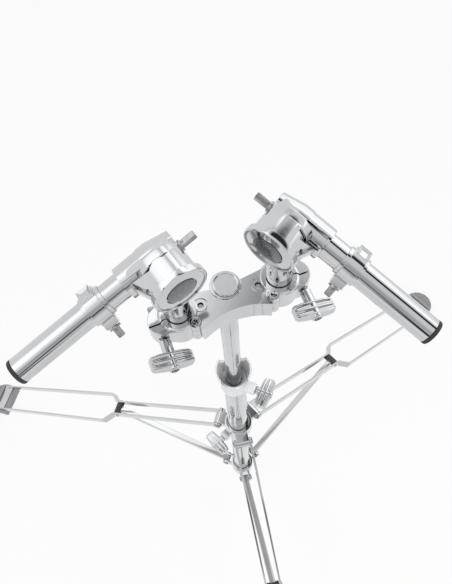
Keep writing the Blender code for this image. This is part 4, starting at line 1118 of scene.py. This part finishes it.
def wing_pair(sizes, base):
    """Two wings with rounded finger grooves on an axis of Z, from z = base."""
    half = sizes.thick / 2
    edge = []
    for step in range(PIN + 1):
        share = step / PIN
        ridge = 0.5 + 0.5 * math.cos(share * WING_GROOVES * TURN)
        blunt = min(1.0, math.sin(share * math.pi) * WING_BLUNT) ** 0.5
        grooved = WING_PLAIN < share < 1 - WING_PLAIN
        edge.append((half * blunt - sizes.groove * ridge * blunt * grooved, base + share * sizes.deep))
    outline = edge + [(-y, z) for y, z in reversed(edge[1:-1])]
    wing = bmesh.new()
    face = wing.faces.new([wing.verts.new((0, y, z)) for y, z in outline])
    middle = Matrix.Translation((0, 0, -base - sizes.deep / 2))
    for share, size in (*WING_PUSHES, (WING_END, sizes.tip), (WING_NOSE, sizes.tip * WING_ROUND)):
        pushed = bmesh.ops.extrude_face_region(wing, geom=[face])["geom"]
        face = next(item for item in pushed if isinstance(item, bmesh.types.BMFace))
        rim = verts_in(pushed)
        grow = size * half / max(abs(vert.co.y) for vert in rim)
        bmesh.ops.translate(wing, verts=rim, vec=(sizes.span * share, 0, 0))
        bmesh.ops.scale(wing, verts=rim, vec=(1, grow, grow), space=middle)
    outwards_facing(wing)
    return wing, moved(wing.copy(), Matrix.Rotation(math.pi, 4, "Z"))


def wing_hub(sizes, root, bore=0):
    """The round hub between the wings, open for a nut and domed for a screw."""
    radius, top, bevel = sizes.hub_radius, root + sizes.deep + sizes.crown, sizes.hub_bevel
    turned = sizes.crown_round
    crown = arc((radius - turned, top - turned), turned, math.pi / 2, 0, FEW)
    profile = [(bore, top), *crown, (radius, bevel), (radius - bevel, 0), (bore, 0)]
    return lathe(profile, ROUND, ring=bore > 0)


class Wings(bpy.types.Operator):
    """Wing nuts of the gates and wing screws of the collar and the hub"""

    bl_idname = "tom_stand.wings"
    bl_label = "Wing nuts and screws"

    def execute(self, context):
        sizes, casting = context.scene.tom_wing, context.scene.tom_bracket
        column, tripod, gap = context.scene.tom_column, context.scene.tom_tripod, context.scene.tom_tube.gap
        bore, root = sizes.bolt_radius + sizes.play, sizes.screw_root
        height = -(casting.thick + casting.ear_low) / 2
        seat = Matrix.Translation((sizes.bolt_x, casting.ear_front - gap, height))
        seat = seat @ Matrix.Rotation(math.pi / 2, 4, "X")
        for side, roll in zip(SIDES, (sizes.roll_left, sizes.roll_right)):
            nut = joined(wing_hub(sizes, sizes.nut_root, bore), *wing_pair(sizes, sizes.nut_root))
            place = socket_place(side) @ seat @ Matrix.Rotation(roll, 4, "Z")
            publish(f"{side}_grooved_wing_nut", nut, place, "chrome_cast", f"{side}_nut", f"{side}_wing_nut")
        hub_radius = column.base_radius + gap + tripod.hub_wall
        for name, ring in (("collar", column.waist_radius), ("hub", hub_radius)):
            reach, body = ring + column.boss_reach, f"{name}_screw"
            shank = rod(sizes.bolt_radius, column.base_radius - reach, root + sizes.deep / 2, PIN)
            screw = joined(wing_hub(sizes, root), shank, *wing_pair(sizes, root))
            quarter = Matrix.Translation((0, 0, reach + gap)) @ Matrix.Rotation(math.pi / 2, 4, "Z")
            place = screw_place(f"{body}_turn") @ quarter
            publish(f"{name}_grooved_wing_screw", screw, place, "chrome_cast", body, f"{name}_wing_screw")
        return {"FINISHED"}


def screw_boss(column, radius, height, hinge):
    """A rounded square boss for the wing screw that turns on that joint."""
    half = column.boss_half
    boss = box((radius - half / 2, -half, -half), (radius + column.boss_reach, half, half))
    boss = shifted(eased(boss, bpy.context.scene.tom_edge.screw_boss), z=height)
    axis = joint(hinge)["axis"]
    return moved(boss, Matrix.Rotation(math.atan2(axis[1], axis[0]), 4, "Z"))


class Column(bpy.types.Operator):
    """Centre post, base tube and the petal collar between them"""

    bl_idname = "tom_stand.column"
    bl_label = "Column"

    def collar(self, sizes, gap, edge):
        """The flared cup with two petals and its skirt, from z = 0 down."""
        ledge = -sizes.cup - sizes.ledge
        foot = ledge - sizes.skirt
        skirt, bore, waist = sizes.base_radius + gap, sizes.post_radius + gap, sizes.waist_radius
        profile = [(sizes.cup_radius, 0), (sizes.lip_radius, 0), (sizes.lip_radius, -sizes.lip)]
        profile += [(waist + sizes.lip, -sizes.flare), (waist, -sizes.cup), (waist, foot), (skirt, foot)]
        profile += [(skirt, ledge), (bore, ledge), (bore, -sizes.cup), (skirt, sizes.seat - sizes.cup)]
        cup = eased(lathe(profile, WIDE, ring=True), edge, segments=2)
        far = 3 * sizes.lip_radius
        saddle = along_x(rod(sizes.petal_radius, -far, far, WIDE))
        cup = cut(cup, moved(saddle, Matrix.Rotation(sizes.petal_bearing, 4, "Z")))
        return joined(cup, screw_boss(sizes, waist, (ledge + foot) / 2, "collar_screw_turn"))

    def execute(self, context):
        sizes, gap, edge = context.scene.tom_column, context.scene.tom_tube.gap, context.scene.tom_edge.tube
        axis = bracket_place().translation
        place = Matrix.Translation((axis.x, axis.y, 0))
        tubes = (
            ("polished_post", sizes.post_radius, sizes.post_wall, "post", "centre_post"),
            ("polished_base_tube", sizes.base_radius, sizes.base_wall, "base", "base_tube"),
        )
        for name, radius, wall, body, node in tubes:
            low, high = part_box(node)
            tube = eased(pipe(radius - wall, radius, low.z, high.z, WIDE), edge)
            publish(name, tube, place, "chrome_tube", body, node)
        collar = shifted(self.collar(sizes, gap, edge), z=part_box("height_collar")[1].z)
        # The collar's finish is painted paler, as painted light against the shade inside its cup
        publish("petal_collar", collar, place, "satin_cast", "base", "height_collar")
        return {"FINISHED"}


class Hubs(bpy.types.Operator):
    """Sliding upper hub and fixed lower hub, with their pivot lugs"""

    bl_idname = "tom_stand.hubs"
    bl_label = "Hubs"

    def execute(self, context):
        column, sizes, edges = context.scene.tom_column, context.scene.tom_tripod, context.scene.tom_edge
        axis = bracket_place().translation
        bore = column.base_radius + context.scene.tom_tube.gap
        outer, half, wide = bore + sizes.hub_wall, sizes.hub_long / 2, sizes.lug_half
        cheeks = [(sizes.cheek_inner, wide), (-wide, -sizes.cheek_inner)]
        kinds = (("upper", "hub", "leg", [(-wide, wide)]), ("lower", "base", "strut", cheeks))
        outline = stadium(column.base_radius + sizes.hub_wall / 2, sizes.pivot_radius, sizes.lug_round)
        for name, body, link, spans in kinds:
            parts = [eased(pipe(bore, outer, -half, half, WIDE), edges.hub)]
            for leg in LEGS:
                pivot = Vector(joint(f"{link}_{leg}_fold")["pos_m"]) - axis
                turn = Matrix.Rotation(math.atan2(pivot.y, pivot.x), 4, "Z")
                for low, high in spans:
                    parts.append(moved(eased(along_y(prism(outline, low, high)), edges.sleeve), turn))
            if name == "upper":
                parts.append(screw_boss(column, outer, 0, "hub_screw_turn"))
            place = Matrix.Translation((axis.x, axis.y, joint(f"{link}_1_fold")["pos_m"][2]))
            publish(f"{name}_pivot_hub", joined(*parts), place, "chrome_cast", body, f"{name}_hub")
        return {"FINISHED"}


class Legs(bpy.types.Operator):
    """Tripod legs with their struts, dark spacers and rubber feet"""

    bl_idname = "tom_stand.legs"
    bl_label = "Legs"

    def strips(self, sizes, edges, gap, long):
        """Two strips that step apart past the middle pivot, with their eyes, rivets and bridge."""
        inner, half, wide = sizes.lug_half + gap, sizes.strip_half, sizes.leg_half
        outer, apart = inner + sizes.strip_thick, wide - sizes.strip_thick
        start = sizes.link + sizes.jog_start
        end = start + sizes.jog_long
        outline = [(0, inner), (start, inner), (end, apart), (long, apart)]
        outline += [(long, wide), (end, wide), (start, outer), (0, outer)]
        parts = [box((long - sizes.tie_long, -wide + gap, gap - half), (long - gap, wide - gap, half - gap))]
        for side in (1, -1):
            strip = prism([(x, side * y) for x, y in outline], -half, half)
            parts.append(eased(strip, edges.strip))
            eye = sorted((side * inner, side * outer))
            parts.append(eased(along_y(rod(half + gap, *eye, PIN)), edges.strip))
            reach = sorted((side * inner, side * (outer + sizes.rivet_thick)))
            rivet = eased(along_y(rod(sizes.pin_head, *reach, SMALL)), edges.rivet)
            parts.append(shifted(rivet, x=sizes.link))
        return joined(*parts)

    def foot(self, sizes, gap, level, long):
        """A rounded rubber boot, ribbed over its toe and hollow for the leg."""
        radius, half, wide = sizes.foot_half, sizes.strip_half + gap, sizes.leg_half + gap
        toe = arc((sizes.foot_toe - radius, 0), radius, -math.pi / 2, math.pi / 2, PIN)
        outline = [(-sizes.foot_heel, -radius), *toe, (-sizes.foot_heel, radius)]
        boot = eased(prism(outline, 0, sizes.foot_high), sizes.foot_bevel, segments=5)
        tools = [box((0, -wide, -half), (long + gap, wide, half))]
        for rib in range(1, RIBS + 1):
            start = sizes.foot_toe - rib * sizes.rib_pitch
            low = (start, -2 * radius, sizes.foot_high - sizes.rib_deep)
            groove = box(low, (start + 2 * sizes.rib_deep, 2 * radius, 2 * sizes.foot_high))
            tools.append(moved(groove, level))
        return cut(moved(boot, level), *tools)

    def execute(self, context):
        sizes, edges, gap = context.scene.tom_tripod, context.scene.tom_edge, context.scene.tom_tube.gap
        slope, long = math.atan2(sizes.drop, sizes.spread), math.hypot(sizes.drop, sizes.spread)
        level = Matrix.Translation((long, 0, 0)) @ Matrix.Rotation(-slope, 4, "Y")
        level = level @ Matrix.Translation((0, 0, -sizes.foot_middle))
        for leg in LEGS:
            body, link = f"leg_{leg}", f"strut_{leg}"
            place, brace = hinge_place(f"{body}_fold", -slope), hinge_place(f"{link}_fold", slope)
            strips = self.strips(sizes, edges, gap, long)
            publish(f"stepped_leg_{leg}", strips, place, "chrome_tube", body, body)
            boot = self.foot(sizes, gap, level, long)
            publish(f"rubber_foot_{leg}", boot, place, "foot_rubber", body, f"foot_{leg}")
            bar = prism(stadium(0, sizes.link, sizes.strut_half_z), -sizes.strut_half_y, sizes.strut_half_y)
            bar = eased(along_y(bar), edges.strut)
            publish(f"rounded_strut_{leg}", bar, brace, "chrome_tube", link, link)
            spacer = rod(sizes.strut_half_z + gap, -sizes.lug_half, sizes.lug_half, PIN)
            spacer = shifted(eased(along_y(spacer), edges.rivet), x=sizes.link)
            publish(f"pivot_spacer_{leg}", spacer, brace, "dark_nylon", link)
        return {"FINISHED"}


class SmallParts(bpy.types.Operator):
    """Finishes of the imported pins, screws, bush and plug, whose shapes stay"""

    bl_idname = "tom_stand.small_parts"
    bl_label = "Small parts"

    def execute(self, context):
        steel = [f"{side}_{name}" for side in SIDES for name in ("gate_pin", "lug_screw", "wing_bolt")]
        steel += [f"{name}_pin_{leg}" for leg in LEGS for name in ("leg", "strut")]
        kept = {"bright_steel": steel, "dark_nylon": ["post_bush"], "cap_rubber": ["base_plug"]}
        for finish, names in kept.items():
            for name in names:
                slots = frame["nodes"][name].data.materials
                slots.clear()
                slots.append(material(finish))
        return {"FINISHED"}


# Stage

# Patches of the dome: direction, full and faded angle in degrees, brightness
PATCHES = (
    ((-0.27, 0.07, 0.96), 12, 25, 1.3),
    ((0.835, 0.444, 0.326), 10, 24, 1.7),
    ((0.1, -0.84, 0.53), 4, 27, 0.5),
    ((0.117, 0.42, 0.9), 10, 22, 0.85),
)
# Bands along a tube: side, place across it from upper (-1) to lower edge (1), full and faded sine, brightness
BANDS = (
    ("left", -0.36, 0.16, 0.5, 1.8),
    ("left", 0.08, 0.08, 0.3, 0.55),
    ("left", 0.24, 0.05, 0.09, 0.04),
    ("right", -0.2, 0.1, 0.55, 0.95),
    ("right", -0.62, 0.12, 0.16, 1.9),
    ("right", -0.4, 0.1, 0.17, 0.03),
    ("right", 0.26, 0.045, 0.08, 0.08),
)
# How far a band runs along its tube, full and faded angle in degrees
BAND_REACH = (30, 48)
# Soft boxes: name, place from the bracket and size in metres, power in watts
SOFT_BOXES = (
    ("key_box", (-0.9, -0.5, 1.3), (1.0, 0.7), 12),
    ("fill_box", (1.1, 0.4, 1.2), (0.9, 0.5), 8),
    ("front_box", (0.2, -1.6, 0.5), (1.2, 0.5), 8),
)
# Height of the camera's frame in millimetres
FRAME_HIGH = 36
WHITE = (1, 1, 1, 1)


class Stage(bpy.types.Operator):
    """Pale floor, white surroundings, soft boxes, the reflected dome and the camera"""

    bl_idname = "tom_stand.stage"
    bl_label = "Stage"

    def surroundings(self, settings):
        world = bpy.context.scene.world or bpy.data.worlds.new("white_studio")
        bpy.context.scene.world = world
        world.use_nodes = True
        paint = Paint(world.node_tree)
        levels = {"Color": (*settings.backdrop, 1), "Strength": settings.soft_level}
        soft = paint.add("ShaderNodeBackground", sockets=levels)
        white = paint.add("ShaderNodeBackground", sockets={"Color": WHITE})
        mixed = paint.add("ShaderNodeMixShader", sockets={0: self.seen(paint), 1: soft, 2: white})
        paint.add("ShaderNodeOutputWorld", sockets={"Surface": mixed})

    def seen(self, paint):
        """1 for rays that show the background: to the camera, in a mirror or through glass."""
        kinds = ("Camera", "Glossy", "Transmission")
        rays = [paint.add("ShaderNodeLightPath", output=f"Is {kind} Ray") for kind in kinds]
        return paint.add("ShaderNodeMath", {"operation": "MINIMUM"}, {0: sum(rays[1:], rays[0]), 1: 1.0})

    def floor(self, settings):
        bm = bmesh.new()
        bmesh.ops.create_circle(bm, cap_ends=True, radius=settings.floor_radius, segments=WIDE)
        floor = linked("pale_floor", as_mesh("pale_floor", shifted(bm, z=-settings.floor_drop)))
        made, paint = new_material("pale_floor")
        matt = paint.add("ShaderNodeBsdfDiffuse", sockets={"Color": (*settings.backdrop, 1)})
        glow = paint.add("ShaderNodeEmission", sockets={"Color": WHITE})
        share = settings.floor_glow * self.seen(paint)
        mixed = paint.add("ShaderNodeMixShader", sockets={0: share, 1: matt, 2: glow})
        paint.add("ShaderNodeOutputMaterial", sockets={"Surface": mixed})
        floor.data.materials.append(made)

    def mirrored(self, side, eye, across):
        """Where the eye looks after a tube mirrors it, and the plane of that sight along the whole tube."""
        place = tube_place(side)
        axis = place.to_3x3().col[0]
        sight = place @ Vector((bpy.context.scene.tom_tube.lock_at, 0, 0)) - eye
        sight.normalize()
        down = axis.cross(sight).normalized() * (1 if side == "left" else -1)
        facing = down.cross(axis).normalized()
        facing *= -1 if facing.dot(sight) > 0 else 1
        normal = across * down + math.sqrt(1 - across**2) * facing
        seen = sight - 2 * sight.dot(normal) * normal
        return seen, axis.cross(seen).normalized()

    def dome(self, settings, target, eye):
        """A soft dome that only reflections see, with light and dark bands that lie along the arm tubes."""
        bm = bmesh.new()
        bmesh.ops.create_uvsphere(bm, u_segments=WIDE, v_segments=PIN, radius=settings.dome_radius)
        dome = linked("reflected_dome", as_mesh("reflected_dome", moved(bm, Matrix.Translation(target))))
        made, paint = new_material("reflected_dome")
        place = paint.add("ShaderNodeTexCoord", output="Object")
        way = paint.add("ShaderNodeVectorMath", {"operation": "SUBTRACT"}, {0: place, 1: target})
        way = paint.add("ShaderNodeVectorMath", {"operation": "NORMALIZE"}, {0: way})

        def along(direction):
            sockets = {0: way, 1: Vector(direction).normalized()}
            return paint.add("ShaderNodeVectorMath", {"operation": "DOT_PRODUCT"}, sockets, output="Value")

        def eased_step(value, low, high):
            sockets = {"Value": value, "From Min": low, "From Max": high}
            return paint.add("ShaderNodeMapRange", {"interpolation_type": "SMOOTHSTEP"}, sockets)

        def patch(direction, inside, outside):
            low, high = (math.cos(math.radians(turn)) for turn in (outside, inside))
            return eased_step(along(direction), low, high)

        glow = settings.dome_level
        for direction, inside, outside, level in PATCHES:
            glow = glow + patch(direction, inside, outside) * (level - glow)
        for side, across, inner, outer, level in BANDS:
            seen, plane = self.mirrored(side, eye, across)
            away = paint.add("ShaderNodeMath", {"operation": "ABSOLUTE"}, {0: along(plane)})
            share = (1.0 - eased_step(away, inner, outer)) * patch(seen, *BAND_REACH)
            glow = glow + share * (level - glow)
        light = paint.add("ShaderNodeEmission", sockets={"Color": glow})
        paint.add("ShaderNodeOutputMaterial", sockets={"Surface": light})
        dome.data.materials.append(made)
        dome.visible_camera = dome.visible_diffuse = dome.visible_shadow = False
        dome.visible_transmission = dome.visible_volume_scatter = False

    def soft_box(self, target, name, place, size, power):
        data = bpy.data.lights.new(name, "AREA")
        data.shape, data.size, data.size_y, data.energy = "RECTANGLE", *size, power
        lamp = linked(name, data)
        lamp.location = target + Vector(place)
        lamp.visible_glossy = False
        lamp.rotation_euler = (-Vector(place)).to_track_quat("-Z", "Y").to_euler()

    def camera(self, settings, eye):
        azimuth, elevation, roll = settings.azimuth, settings.elevation, settings.roll
        level = math.cos(elevation)
        back = Vector((math.sin(azimuth) * level, -math.cos(azimuth) * level, math.sin(elevation)))
        right = Vector((math.cos(azimuth), math.sin(azimuth), 0))
        up = back.cross(right)
        x_axis = math.cos(roll) * right - math.sin(roll) * up
        y_axis = math.sin(roll) * right + math.cos(roll) * up
        data = bpy.data.cameras.new("photo_camera")
        data.lens, data.sensor_width, data.clip_start = settings.lens, FRAME_HIGH, settings.clip_start
        camera = linked("photo_camera", data)
        turn = Matrix((x_axis, y_axis, back)).transposed().to_4x4()
        camera.matrix_world = Matrix.Translation(eye) @ turn
        bpy.context.scene.camera = camera

    def execute(self, context):
        settings = context.scene.tom_stage
        context.scene.view_settings.view_transform = "Standard"
        target = bracket_place().translation
        eye = target + Vector((settings.eye_x, settings.eye_y, settings.eye_z))
        self.surroundings(settings)
        self.floor(settings)
        self.dome(settings, target, eye)
        for lamp in SOFT_BOXES:
            self.soft_box(target, *lamp)
        self.camera(settings, eye)
        return {"FINISHED"}


# Panel and registration

GROUPS = {
    "tom_tube": TubeSizes,
    "tom_head": HeadSizes,
    "tom_bracket": BracketSizes,
    "tom_wing": WingSizes,
    "tom_column": ColumnSizes,
    "tom_tripod": TripodSizes,
    "tom_edge": EdgeSizes,
    "tom_colours": FinishColours,
    "tom_stage": StageSettings,
}
OPERATORS = (
    ArmTubes, ArmLocks, TiltHeads, HeadDiscs, ArmPosts, Bracket, Gates,
    Wings, Column, Hubs, Legs, SmallParts, Stage,
)


class TomStandPanel(bpy.types.Panel):
    """Lists the stand's pieces and sizes"""

    bl_idname = "VIEW3D_PT_tom_stand"
    bl_label = "Tom Stand"
    bl_space_type = "VIEW_3D"
    bl_region_type = "UI"
    bl_category = "Tom Stand"

    def draw(self, context):
        for operator in OPERATORS:
            self.layout.operator(operator.bl_idname)
        for name, group in GROUPS.items():
            box_layout = self.layout.box()
            for key in group.__annotations__:
                box_layout.prop(getattr(context.scene, name), key)


def register():
    for group in GROUPS.values():
        bpy.utils.register_class(group)
    for name, group in GROUPS.items():
        setattr(bpy.types.Scene, name, bpy.props.PointerProperty(type=group))
    for item in (*OPERATORS, TomStandPanel):
        bpy.utils.register_class(item)


def unregister():
    for item in (TomStandPanel, *reversed(OPERATORS)):
        bpy.utils.unregister_class(item)
    for name, group in reversed(GROUPS.items()):
        delattr(bpy.types.Scene, name)
        bpy.utils.unregister_class(group)


def main():
    register()
    for operator in OPERATORS:
        family, name = operator.bl_idname.split(".")
        getattr(getattr(bpy.ops, family), name)()


if __name__ == "__main__":
    main()
